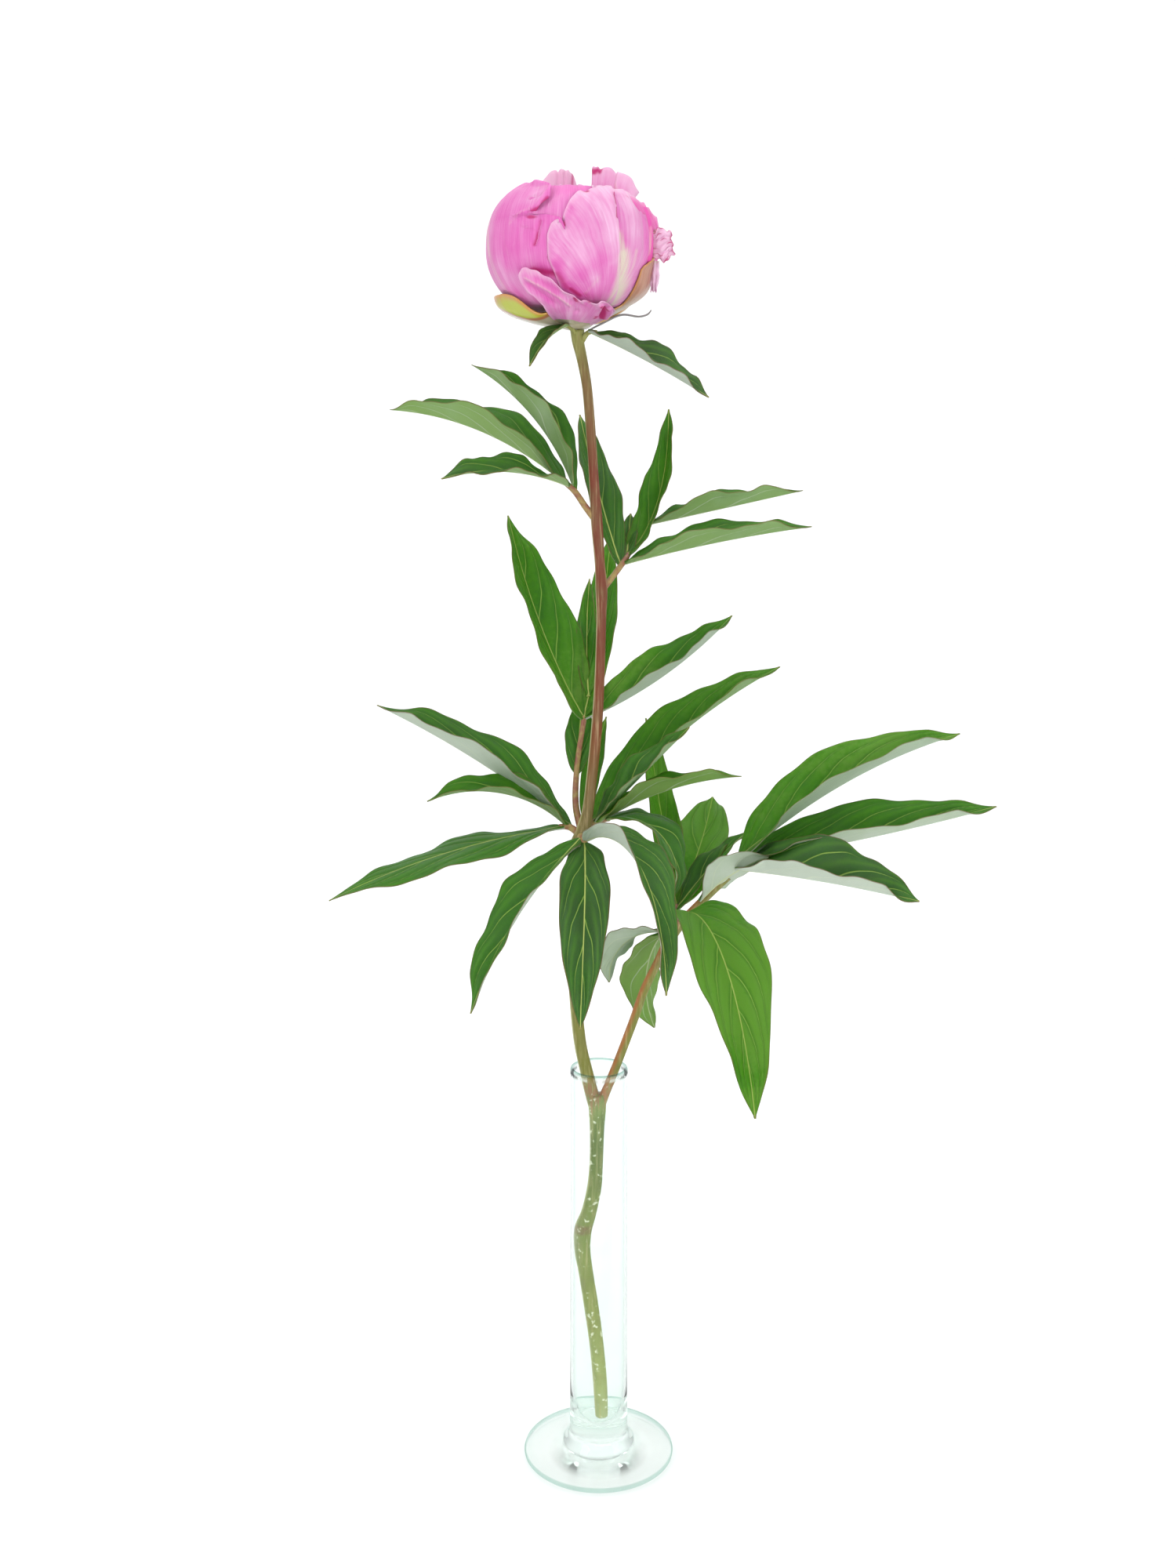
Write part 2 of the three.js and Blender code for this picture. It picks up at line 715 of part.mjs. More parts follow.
// Receptacle: the thick green top of the stem that the sepals grow from
function receptacleSolid() {
  const [x, y, z] = FLOWERING_STEM.at(-1);
  const bottom = z + CLEARANCE;
  const top = BLOOM_CENTRE.z - BLOOM_HEIGHT_BELOW * CORE_SCALE - CLEARANCE - bottom;
  const profile = [
    [0, 0],
    [3.4, 0],
    [7, 1.4],
    [8.6, 3.2],
    [5.5, top],
    [0, top],
  ];
  const points = profile.map(([radius, height]) => new THREE.Vector2(radius, height));
  const geometry = new THREE.LatheGeometry(points, RECEPTACLE_SIDES);
  geometry.rotateX(90 * DEGREE);
  geometry.translate(x - 1, y, bottom);
  return solid(geometry);
}

function calyxSolid() {
  const sepals = SEPALS.map((one) =>
    petal({ ...one, thickness: SEPAL_THICKNESS, root: SEPAL_ROOT, across: 4, along: 5 }),
  );
  return largest(join([receptacleSolid(), ...sepals]));
}

// Looks
const GLASS = { color: 0xe6f0ec, roughness: 0.05, metalness: 0, transparent: true, opacity: 0.35 };
const STEM = { color: 0x7d7a4a, roughness: 0.5, metalness: 0 };
const LEAF = { color: 0x2f5a2c, roughness: 0.4, metalness: 0 };
const BRACT = { color: 0x3c6a35, roughness: 0.45, metalness: 0 };
const DRY_BRACT = { color: 0x7f7f86, roughness: 0.7, metalness: 0 };
const CALYX = { color: 0xa9b85e, roughness: 0.5, metalness: 0 };
const PETAL = { color: 0xef8fd2, roughness: 0.55, metalness: 0 };

const stemRoom = stemSolid(CLEARANCE);
const leaf = (petiole, leaflets) => leafSolid(petiole, leaflets, stemRoom);
const pieces = [
  ["vase", vaseSolid(), GLASS],
  ["stem", stemSolid(), STEM],
  ["leaf_upper_left", leaf(UPPER_LEFT_PETIOLE, UPPER_LEFT), LEAF],
  ["leaf_upper_right", leaf(UPPER_RIGHT_PETIOLE, UPPER_RIGHT), LEAF],
  ["leaf_middle", leaf(MIDDLE_PETIOLE, MIDDLE), LEAF],
  ["leaf_lower_left", leaf(LOWER_LEFT_PETIOLE, LOWER_LEFT), LEAF],
  ["leaf_lower_front", leaf(LOWER_FRONT_PETIOLE, LOWER_FRONT), LEAF],
  ["leaf_lower_right", leaf(LOWER_RIGHT_PETIOLE, LOWER_RIGHT), LEAF],
  ["leaf_narrow_back", leaf(NARROW_PETIOLE, NARROW), LEAF],
  ["leaf_right_end", leaf(END_PETIOLE, END_LEAF), LEAF],
  ["leaf_right_hanging", leaf(HANGING_PETIOLE, HANGING_LEAF), LEAF],
  ["leaf_right_upright", leaf(UPRIGHT_PETIOLE, UPRIGHT_LEAF), LEAF],
  ["leaf_right_under", leaf(UNDER_PETIOLE, UNDER_LEAF), LEAF],
  ["bract_left", leaf(LEFT_BRACT_STALK, LEFT_BRACT), BRACT],
  ["bract_right", leaf(RIGHT_BRACT_STALK, RIGHT_BRACT), BRACT],
  ["bract_hook", largest(stalk(HOOK_BRACT, PETIOLE_SIDES, 3).subtract(stemRoom)), DRY_BRACT],
  ["calyx", calyxSolid(), CALYX],
  ["bloom", bloomSolid(), PETAL],
];

const peonyInVase = new THREE.Group();
peonyInVase.name = "peony_in_bud_vase";
for (const [name, body, look] of pieces) {
  peonyInVase.add(meshOf(name, body, look));
}

export default peonyInVase;
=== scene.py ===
# %% [markdown]
# # A cut peony in a glass bud vase
#
# The imported model is loaded first. It is the fixed frame: every piece made below sits in
# the same place, in metres, and stands for one of its nodes.

# %% Load the frame
import math

import bpy
import numpy as np
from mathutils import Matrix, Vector


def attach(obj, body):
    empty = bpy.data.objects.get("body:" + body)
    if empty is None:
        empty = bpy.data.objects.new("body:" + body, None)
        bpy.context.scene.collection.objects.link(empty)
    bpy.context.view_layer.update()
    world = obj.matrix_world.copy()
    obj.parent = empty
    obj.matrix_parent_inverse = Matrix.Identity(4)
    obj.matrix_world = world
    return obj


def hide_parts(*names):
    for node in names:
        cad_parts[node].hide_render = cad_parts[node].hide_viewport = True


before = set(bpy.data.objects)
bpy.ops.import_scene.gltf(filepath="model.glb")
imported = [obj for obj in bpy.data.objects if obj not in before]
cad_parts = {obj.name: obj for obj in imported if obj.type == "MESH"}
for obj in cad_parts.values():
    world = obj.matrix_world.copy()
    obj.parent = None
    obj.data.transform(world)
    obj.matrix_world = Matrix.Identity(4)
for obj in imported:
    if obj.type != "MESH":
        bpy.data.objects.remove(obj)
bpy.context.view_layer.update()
MM = 0.001
print("frame loaded,", len(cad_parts), "nodes")

# %% [markdown]
# ## Shader maths
#
# A material is a graph of nodes. Written out node by node it is long and hard to read, so
# one small class wraps a socket and turns an expression such as 1 - mask * 0.5 into Math
# nodes. Colours go through Mix nodes, because a Math node turns a colour grey.


# %% Sockets as values
def operator(operation, reflected=False):
    """A method that adds one Math node, for an operand on the other side if reflected."""

    def apply(self, other):
        operands = (other, self) if reflected else (self, other)
        return self.finish.node("Math", {"operation": operation}, dict(enumerate(operands)))

    return apply


class Value:
    def __init__(self, finish, socket):
        self.finish = finish
        self.socket = socket

    __add__ = __radd__ = operator("ADD")
    __mul__ = __rmul__ = operator("MULTIPLY")
    __sub__, __rsub__ = operator("SUBTRACT"), operator("SUBTRACT", reflected=True)
    __truediv__, __rtruediv__ = operator("DIVIDE"), operator("DIVIDE", reflected=True)
    __pow__, __rpow__ = operator("POWER"), operator("POWER", reflected=True)

    def math(self, operation, *others):
        operands = dict(enumerate([self, *others]))
        return self.finish.node("Math", {"operation": operation}, operands)

    def size(self):
        return self.math("ABSOLUTE")

    def share(self, low, high, start=0, end=1):
        """Where the value lies between low and high, eased at both ends."""
        ends = {"From Min": low, "From Max": high, "To Min": start, "To Max": end}
        smooth = {"interpolation_type": "SMOOTHSTEP"}
        return self.finish.node("MapRange", smooth, {"Value": self, **ends})


# %% [markdown]
# A Finish is one material, or the light of the world. Its node method makes any node from
# its type, its settings and what feeds its sockets, and hands back the output as a Value.
# Colours are written as the hex values a paint card would show, and turned into the linear
# values that shaders use.


# %% One material and its nodes
def paint(code):
    channels = [int(code[i : i + 2], 16) / 255 for i in (0, 2, 4)]
    linear = [c / 12.92 if c <= 0.04045 else ((c + 0.055) / 1.055) ** 2.4 for c in channels]
    return (*linear, 1)


class Finish:
    def __init__(self, name, kind=bpy.data.materials):
        self.owner = kind.new(name)
        self.owner.use_nodes = True
        self.tree = self.owner.node_tree
        self.tree.nodes.clear()

    def node(self, kind, settings=None, sockets=None, output=0):
        made = self.tree.nodes.new("ShaderNode" + kind)
        for key, setting in (settings or {}).items():
            if key == "stops":
                self.stops(made.color_ramp, setting)
            else:
                setattr(made, key, setting)
        for key, feed in (sockets or {}).items():
            if isinstance(feed, Value):
                self.tree.links.new(feed.socket, made.inputs[key])
            else:
                made.inputs[key].default_value = paint(feed) if isinstance(feed, str) else feed
        return Value(self, made.outputs[output]) if made.outputs else None

    def stops(self, ramp, stops):
        while len(ramp.elements) < len(stops):
            ramp.elements.new(1)
        for element, (place, colour) in zip(ramp.elements, stops.items()):
            element.position = place
            element.color = paint(colour)

    def ramp(self, factor, stops):
        return self.node("ValToRGB", {"stops": stops}, {"Fac": factor})

    def measure(self, name):
        """A number kept on the mesh, such as how far a point lies across its leaflet."""
        return self.node("Attribute", {"attribute_name": name}, output=2)

    def measures(self, *names):
        return [self.measure(name) for name in names]

    def mix(self, factor, first, second):
        return self.node("Mix", {"data_type": "RGBA"}, {0: factor, 6: first, 7: second}, 2)

    def layers(self, colour, *coats):
        """A colour with coats of (factor, colour) laid over it in turn."""
        for factor, coat in coats:
            colour = self.mix(factor, colour, coat)
        return colour

    def point(self, x, y, z):
        return self.node("CombineXYZ", {}, {0: x, 1: y, 2: z})

    def noise(self, scale, detail, vector=None, roughness=0.5):
        sockets = {"Scale": scale, "Detail": detail, "Roughness": roughness}
        sockets["Vector"] = vector or self.node("TexCoord", output=3)
        return self.node("TexNoise", {}, sockets)

    def bump(self, height, distance, strength):
        sockets = {"Height": height, "Distance": distance, "Strength": strength}
        return self.node("Bump", {}, sockets)

    def principled(self, colour, roughness, relief, more=None):
        sockets = {"Base Color": colour, "Roughness": roughness, "Normal": relief}
        return self.node("BsdfPrincipled", {}, {**sockets, **(more or {})})

    def surface(self, shader, **ends):
        self.node("OutputMaterial", {}, {"Surface": shader, **ends})
        print("finish", self.owner.name, len(self.tree.nodes), "nodes")
        return self.owner


# %% [markdown]
# ## From arrays to a piece
#
# Every petal and leaflet is a thin closed sheet: a grid of points on its upper face, one on
# its under face, and a band that joins their rims. Building both grids as arrays is quick,
# and any number worked out per point can be kept on the mesh for the material to read.


# %% Closed sheets
def grid_faces(rows, columns, start=0, flip=False, closed=False):
    r, c = np.meshgrid(np.arange(rows - 1), np.arange(columns - (not closed)), indexing="ij")
    a = start + r * columns + c
    b = start + r * columns + (c + 1) % columns
    quads = np.stack([a, b, b + columns, a + columns], -1).reshape(-1, 4)
    return quads[:, ::-1] if flip else quads


def rim_of(rows, columns):
    """The numbers of a grid's outer points, once round its four sides."""
    at = np.arange(rows * columns).reshape(rows, columns)
    return np.concatenate([at[0, :-1], at[:-1, -1], at[-1, :0:-1], at[:0:-1, 0]])


def sheet(upper, lower, measures):
    """A closed sheet from two grids of points. A measure is a number, or one per point."""
    rows, columns = upper.shape[:2]
    count = rows * columns
    rim = rim_of(rows, columns)
    following = np.roll(rim, -1)
    band = np.stack([rim, rim + count, following + count, following], -1)
    both = [grid_faces(rows, columns), grid_faces(rows, columns, count, flip=True)]
    faces = np.concatenate([*both, band])
    points = np.concatenate([upper.reshape(-1, 3), lower.reshape(-1, 3)])
    kept = {
        name: np.tile(np.broadcast_to(measure, (rows, columns)).ravel(), 2)
        for name, measure in measures.items()
    }
    kept["under"] = np.repeat([0.0, 1.0], count)
    corners = points[faces] - points.mean(0)
    diagonals = np.cross(corners[:, 2] - corners[:, 0], corners[:, 3] - corners[:, 1])
    inside_out = (corners.mean(1) * diagonals).sum() < 0
    return points, faces[:, ::-1] if inside_out else faces, kept


def normals(middle, outward=None):
    """The unit normal at each point of a grid, on the side that outward looks to."""
    face = np.cross(np.gradient(middle, axis=0), np.gradient(middle, axis=1))
    face /= np.linalg.norm(face, axis=-1)[..., None] + 1e-9
    return face if outward is None else face * np.sign((face * outward).sum(-1).mean())


# %% Round things
RIB_COUNT, STEPS_PER_KNOT = 5, 24


def cap(ring, centre, flip):
    """Triangles that close a ring of points over the point in its middle. Their last corner
    is given twice, so that they share an array with the four-sided faces."""
    following = np.roll(ring, -1)
    pair = [following, ring] if flip else [ring, following]
    return np.stack([np.full_like(ring, centre), *pair, pair[1]], -1)


def round_skin(rings, ends, flip=False):
    """A closed skin over rings of points, with one more point in the middle of each end."""
    rows, sides = rings.shape[:2]
    count = rows * sides
    first = np.arange(sides)
    faces = [
        grid_faces(rows, sides, flip=flip, closed=True),
        cap(first, count, not flip),
        cap(first + count - sides, count + 1, flip),
    ]
    return np.vstack([rings.reshape(-1, 3), ends]), np.concatenate(faces)


def tube(line, radii, sides, ribs, twist):
    """A round stalk along a line, with slight ribs along it."""
    ahead = np.gradient(line, axis=0)
    ahead /= np.linalg.norm(ahead, axis=1)[:, None]
    side = np.cross(ahead, np.eye(3)[np.argmin(np.abs(line[-1] - line[0]))])
    side /= np.linalg.norm(side, axis=1)[:, None]
    up = np.cross(side, ahead)
    turn = np.linspace(0, 2 * np.pi, sides, endpoint=False)
    along = np.linspace(0, 1, len(line))[:, None]
    swell = 1 + ribs * np.cos(RIB_COUNT * turn[None] + twist * along)
    ring = np.cos(turn)[None, :, None] * side[:, None] + np.sin(turn)[None, :, None] * up[:, None]
    rings = line[:, None] + ring * (np.asarray(radii)[:, None] * swell)[..., None]
    points, faces = round_skin(rings, line[[0, -1]], flip=True)
    return points, faces, {"left": np.append(-ring[..., 0].ravel(), [0, 0])}


def blend(at, low, high, before, after):
    return ((high - at) * before + (at - low) * after) / (high - low)


def run_of(points, power=1.0):
    """How far along a line each of its points lies, in steps raised to a power."""
    step = np.linalg.norm(np.diff(points[:, :3], axis=0), axis=1) ** power
    return np.concatenate([[0], np.cumsum(step)])


def smooth_line(points, spacing):
    """The centripetal spline through some points, sampled evenly, with the fourth number
    of each point, its radius, carried along."""
    knots = np.array(points, float)
    p = np.vstack([2 * knots[0] - knots[1], knots, 2 * knots[-1] - knots[-2]])
    t = run_of(p, 0.5)
    line = []
    for i in range(1, len(p) - 2):
        s = np.linspace(t[i], t[i + 1], STEPS_PER_KNOT, endpoint=False)[:, None]
        a = [blend(s, t[k], t[k + 1], p[k], p[k + 1]) for k in (i - 1, i, i + 1)]
        b = [blend(s, t[i + k - 1], t[i + k + 1], a[k], a[k + 1]) for k in (0, 1)]
        line.append(blend(s, t[i], t[i + 1], *b))
    line = np.vstack([*line, knots[-1:]])
    run = run_of(line)
    even = np.linspace(0, run[-1], max(3, int(run[-1] / spacing)))
    return np.stack([np.interp(even, run, line[:, k]) for k in range(4)], -1)


def stalk(points, sides, spacing, ribs=0.0, twist=0.0):
    line = smooth_line(points, spacing)
    return tube(line[:, :3], line[:, 3], sides, ribs, twist)


def ease(x, low, high):
    s = np.clip((x - low) / (high - low), 0, 1)
    return s * s * (3 - 2 * s)


# %% Pieces
def piece(name, dressed, node):
    """One object that stands for a node, from the shapes that wear each finish."""
    parts = [(place, part) for place, shapes in enumerate(dressed.values()) for part in shapes]
    names = sorted({key for _, (_, _, measures) in parts for key in measures})
    points, faces, slots, kept = [], [], [], {key: [] for key in names}
    start = 0
    for place, (own, quads, measures) in parts:
        points.append(own)
        faces += [[int(i) + start for i in dict.fromkeys(quad.tolist())] for quad in quads]
        slots += [place] * len(quads)
        for key in names:
            kept[key].append(measures.get(key, np.zeros(len(own))))
        start += len(own)
    mesh = bpy.data.meshes.new(name)
    mesh.from_pydata((np.concatenate(points) * MM).tolist(), [], faces)
    for finish in dressed:
        mesh.materials.append(finish)
    mesh.polygons.foreach_set("material_index", slots)
    mesh.polygons.foreach_set("use_smooth", [True] * len(faces))
    for key in names:
        layer = mesh.attributes.new(key, "FLOAT", "POINT")
        layer.data.foreach_set("value", np.concatenate(kept[key]).astype(np.float32))
    mesh.validate()
    made = bpy.data.objects.new(name, mesh)
    bpy.context.collection.objects.link(made)
    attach(made, "root")
    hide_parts(node)
    print("piece", name, len(faces), "faces")


# %% [markdown]
# ## Camera, light and floor
#
# The photograph was taken from the height of the upper leaves, about 68 cm away, looking
# down a little. The light is a white cove, bright behind and from both sides, so that
# shadows are almost gone.

# %% Camera
CAMERA_PLACE = Vector((-5, -683, 432)) * MM
CAMERA_PITCH = 9.3
SENSOR_WIDTH, LENS = 36, 36
camera = bpy.data.objects.new("camera", bpy.data.cameras.new("camera"))
camera.location = CAMERA_PLACE
camera.rotation_euler = (math.radians(90 - CAMERA_PITCH), 0, 0)
camera.data.sensor_width = SENSOR_WIDTH
camera.data.lens = LENS
bpy.context.collection.objects.link(camera)
bpy.context.scene.camera = camera
print("camera", tuple(CAMERA_PLACE), "pitched down", CAMERA_PITCH, "degrees")

# %% Light
FRONT_LIGHT = 0.5
cove = Finish("cove", bpy.data.worlds)
facing = cove.node("SeparateXYZ", {}, {0: cove.node("TexCoord")}, 1)
fade = {"From Min": -1, "From Max": 0.3, "To Min": FRONT_LIGHT, "To Max": 1.0}
dimmer = cove.node("MapRange", {}, {"Value": facing, **fade})
glow = cove.node("Background", {}, {"Color": (1, 1, 1, 1), "Strength": dimmer})
cove.node("OutputWorld", {}, {"Surface": glow})
bpy.context.scene.world = cove.owner
bpy.context.scene.view_settings.view_transform = "Standard"


def softbox(name, place, aim, size, power):
    lamp = bpy.data.lights.new(name, "AREA")
    lamp.shape = "RECTANGLE"
    lamp.size, lamp.size_y = size
    lamp.energy = power
    box = bpy.data.objects.new(name, lamp)
    box.location = place
    box.rotation_euler = (Vector(aim) - Vector(place)).to_track_quat("-Z", "Y").to_euler()
    box.visible_camera = False
    bpy.context.collection.objects.link(box)
    print(name, power, "watts")


softbox("light_back", (0, 0.8, 2.4), (0, 3.0, 0.8), (3.0, 1.5), 40)
softbox("light_above", (0.0, -0.2, 2.0), (0, 0, 0.3), (1.5, 1.5), 12)
softbox("light_left", (-1.5, -1.3, 1.3), (0, 0, 0.35), (1.0, 1.4), 14)
softbox("light_right", (1.7, -0.9, 0.9), (0, 0, 0.35), (0.8, 1.2), 5)
softbox("light_low", (0.4, -1.3, 0.12), (0, 0, 0.5), (1.6, 0.6), 13)

# %% Floor, which lies a hair under the foot and bends up into the wall behind
WALL_PLACE, WALL_HEIGHT, HALF_WIDTH, BEND, DROP = 3.0, 6.0, 6.0, 1.5, -0.0003
white = Finish("white_floor")
chalk = {"Base Color": (0.84, 0.845, 0.85, 1), "Roughness": 0.8}
floor_finish = white.surface(white.node("BsdfPrincipled", {}, chalk))
sweep = [(-HALF_WIDTH, DROP), (WALL_PLACE - BEND, DROP)]
sweep += [
    (WALL_PLACE - BEND + BEND * math.sin(a), DROP + BEND - BEND * math.cos(a))
    for a in np.linspace(0.05, math.pi / 2, 16)
]
sweep.append((WALL_PLACE, WALL_HEIGHT))
floor_points = [(x, y, z) for y, z in sweep for x in (-HALF_WIDTH, HALF_WIDTH)]
floor_faces = [(2 * i, 2 * i + 1, 2 * i + 3, 2 * i + 2) for i in range(len(sweep) - 1)]
floor_mesh = bpy.data.meshes.new("floor")
floor_mesh.from_pydata(floor_points, [], floor_faces)
floor_mesh.materials.append(floor_finish)
floor_mesh.polygons.foreach_set("use_smooth", [True] * len(floor_faces))
floor = bpy.data.objects.new("floor", floor_mesh)
bpy.context.collection.objects.link(floor)
print("floor", len(floor_faces), "faces")

# %% [markdown]
# ## The vase
#
# The vase is blown and turned glass: a thick flat foot, a collar, a plain tube with a thin
# wall and a lip melted round in the fire. A lathe profile makes all of it in one surface.
# Real glass is tinted by its depth, so the green is an absorption inside the glass and not
# a colour on its skin, and the thick bottom comes out greener than the wall.

# %% Vase shape, as (radius, height) from under the foot, over the lip, down to the inside
VASE_SIDES = 128
VASE_PROFILE = [
    (0, 0.0), (33, 0.0), (34.3, 0.3), (34.9, 1.0), (35, 1.7), (34.9, 2.5), (34.2, 3.1),
    (32.5, 3.3), (26, 4.2), (21, 5.0), (18.2, 5.7), (16.8, 6.4), (16.4, 7.2), (16.0, 8.2),
    (15.0, 9.3), (14.2, 10.4), (13.7, 12), (13.55, 20), (13.5, 40), (13.4, 60), (13.3, 90),
    (13.2, 120), (13.1, 150), (13.0, 180), (13.05, 186), (13.2, 188.4), (13.0, 189.4),
    (12.5, 189.9), (12.0, 189.8), (11.7, 189.3), (11.6, 188), (11.6, 180), (11.7, 150),
    (11.8, 120), (11.9, 90), (12.0, 60), (12.1, 42), (11.8, 30), (11.0, 24), (9.8, 20.6),
    (8.0, 18.2), (6, 17.1), (3, 16.65), (0, 16.6),
]


def lathe(profile, sides):
    body = profile[1:-1]
    turn = np.linspace(0, 2 * np.pi, sides, endpoint=False)
    x = body[:, :1] * np.cos(turn)
    y = body[:, :1] * np.sin(turn)
    rings = np.stack([x, y, np.broadcast_to(body[:, 1:], x.shape)], -1)
    points, faces = round_skin(rings, [[0, 0, profile[0, 1]], [0, 0, profile[-1, 1]]])
    return points, faces, {}


def finer(profile, spacing):
    """The profile as a smooth line with points about that far apart."""
    line = smooth_line([(r, z, 0, 0) for r, z in profile], spacing)[:, :2]
    line = np.maximum(line, 0)
    line[0], line[-1] = profile[0], profile[-1]
    return line


vase = lathe(finer(VASE_PROFILE, 1.0), VASE_SIDES)
print("vase turned,", len(vase[0]), "points")

# %% Vase glass
glass = Finish("bud_vase_glass")
place = glass.node("TexCoord", output=3)
level = glass.node("SeparateXYZ", {}, {0: place}, 2)
level_place = glass.node("VectorMath", {"operation": "MULTIPLY"}, {0: place, 1: (1, 1, 0)})
from_axis = glass.node("VectorMath", {"operation": "LENGTH"}, {0: level_place}, 1)
grazing = glass.node("LayerWeight", {}, {"Blend": 0.5}, 1)
# Painted shade: the glass is greyed where its wall is seen edge-on, standing in for the darker edges
# that refraction and reflection give.
painted_edge_shade = grazing.share(0.45, 0.95) * (0.7 - level.share(0.182, 0.186) * 0.5)
clear_body = glass.mix(glass.noise(60, 2), "fbfffd", "f3fbf8")
ripple = glass.bump(glass.noise(22, 2), 0.0015, 0.08)
glass_body = glass.principled(
    glass.mix(painted_edge_shade, clear_body, "9db3ad"), 0.0, ripple, {"IOR": 1.3, "Transmission Weight": 1.0}
)
rim_line = from_axis.share(0.0341, 0.0349).math("MAXIMUM", level.share(0.1882, 0.1896))
clear_tint = glass.mix(rim_line * 0.55, (0.99, 0.995, 0.992, 1), "7dbfae")
clear = glass.node("BsdfTransparent", {}, {"Color": clear_tint})
rounded = level.share(0.186, 0.188).math("MAXIMUM", from_axis.share(0.015, 0.025))
shadow_rays = glass.node("LightPath", output="Is Shadow Ray")
bounced_rays = glass.node("LightPath", output="Is Diffuse Ray")
straight = shadow_rays.math("MAXIMUM", bounced_rays).math("MAXIMUM", rounded * 0.82)
let_through = glass.node("MixShader", {}, {0: straight, 1: glass_body, 2: clear})
tint = glass.node("VolumeAbsorption", {}, {"Color": "b4d9c8", "Density": 8.0})
glass_finish = glass.surface(let_through, Volume=tint)
piece("bud_vase", {glass_finish: [vase]}, "vase")

# %% [markdown]
# ## The stem
#
# A peony's stem is stout and faintly ribbed, swollen and scarred at its nodes. It could be
# a bevelled curve, but a tube built ring by ring can carry ribs and tell its material
# which side is which. Its colour runs from pale olive in the vase to purple brown in the
# light above, the side branch is reddest on the side that faces the sky, and a painted
# highlight runs down the left edge of the main stem.

# %% Stem shape, as (x, z, radius) in the upright plane in which it grew
LOWER_STEM = [
    (1.6, 16.9, 3.1), (0.7, 36, 3.3), (-1, 55, 3.3), (-3.5, 74, 3.4), (-6.2, 92, 3.4),
    (-7.5, 101, 3.7), (-7.4, 111, 4.1), (-4.6, 120, 3.5), (-2, 133, 3.3), (-1.2, 145, 3.1),
    (-0.9, 160, 3.3), (-0.8, 172, 4), (-1, 177, 3.6),
]
FLOWERING_STEM = [
    (-0.9, 168, 3), (-3.6, 179, 3.1), (-5.7, 188, 2.9), (-8.2, 199.4, 2.8), (-9.8, 213, 2.8),
    (-11.2, 232, 2.7), (-12, 256, 2.6), (-12, 280, 2.6), (-10.4, 292, 2.9), (-7.2, 299, 3.2),
    (-5.3, 307, 2.6), (-2.9, 327, 2.4), (-1.2, 345, 2.4), (0, 366, 2.2), (0.8, 396, 2.2),
    (0.8, 405, 2.6), (0.1, 416, 2.2), (-1.3, 434.5, 2.5), (-2.5, 452, 2.1), (-4.4, 479, 2.1),
    (-5.7, 492, 2.1), (-7.8, 503, 2.3), (-9.3, 509.5, 2.6), (-9.6, 513.8, 3),
]
RIGHT_STEM = [
    (-0.6, 168, 2.4), (3.4, 178.9, 2.1), (7.1, 188.2, 2), (11.2, 199.4, 1.95), (15.8, 212.3, 1.95),
    (20.5, 226.3, 1.95), (26.4, 239, 1.95), (33.6, 253, 2.5), (41.6, 262.6, 1.9), (50, 271.2, 1.8),
    (57.5, 278.3, 1.7),
]
RIB_DEPTH = 0.03
stretches = [
    stalk([(x, 0, z, radius) for x, z, radius in points], sides, 1.0, RIB_DEPTH, twist)
    for points, sides, twist in [(LOWER_STEM, 24, 2), (FLOWERING_STEM, 24, 3), (RIGHT_STEM, 20, 2)]
]
right_points, _, right_measures = stretches[-1]
right_measures["branch"] = np.ones(len(right_points))
print("stem grown in", len(stretches), "stretches")

# %% Stem finish
STEM_TOP, LOWEST_NODE = 0.515, 0.1125
STEM_COLOURS = {
    0.0: "aab289", 0.07: "93a05e", 0.14: "7d8841", 0.21: "70803a", 0.30: "56692e",
    0.335: "7a8a4c", 0.346: "8f5b3c", 0.36: "6f702d", 0.54: "727436", 0.60: "73623a",
    0.66: "6e3b1d", 0.76: "68321d", 0.88: "6d3523", 0.96: "7a633a", 1.0: "8b9150",
}
stem_skin = Finish("stem_skin")
place = stem_skin.node("TexCoord", output=3)
height = stem_skin.node("SeparateXYZ", {}, {0: place}, 2)
drawn_out = stem_skin.node("Mapping", {}, {"Vector": place, "Scale": (900, 900, 45)})
fibres = stem_skin.noise(1.0, 4, drawn_out, 0.6)
patches = stem_skin.noise(90, 3)
left, branch = stem_skin.measures("left", "branch")
node_scar = (height - LOWEST_NODE).size().share(0.0008, 0.003, 1, 0)
specks = stem_skin.noise(420, 2).share(0.6, 0.72) * height.share(0.17, 0.19, 1, 0)
skin = stem_skin.layers(
    stem_skin.ramp(height / STEM_TOP + (fibres - 0.5) * 0.08, STEM_COLOURS),
    (left.share(-0.2, 0.8) * branch * 0.85, "a8643a"),
    # Painted highlight: a pale cream line down the left edge of the main stem, standing in for rim
    # light.
    (left.share(0.72, 0.97) * (1 - branch) * 0.7, "bdbd8d"),
    (node_scar * patches.share(0.3, 0.6) * 0.85, "6d4a38"),
    (fibres.share(0.45, 0.75, 0, 0.35), "c9b98a"),
    (patches.share(0.45, 0.8, 0, 0.35), "5f5a34"),
    (specks * 0.75, "e2e4cc"),
)
relief = stem_skin.bump(fibres + patches * 0.5, 0.0003, 0.6)
roughness = fibres.share(0.2, 0.8, 0.38, 0.6)
stem_finish = stem_skin.surface(
    stem_skin.principled(skin, roughness, relief, {"Specular IOR Level": 0.3})
)
piece("flower_stem", {stem_finish: stretches}, "stem")

# %% [markdown]
# ## How a leaflet grows
#
# A leaflet is a blade folded along its midrib. Its shape comes from how it grows: the
# heading and slope at the base, how far it droops and turns by the tip, its width, and how
# far its halves are folded up and rolled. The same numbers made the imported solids. Here
# the blade gets a soft keel, a rounded swell in each half, quilting between its side
# veins and an uneven margin, none of which the solids have.

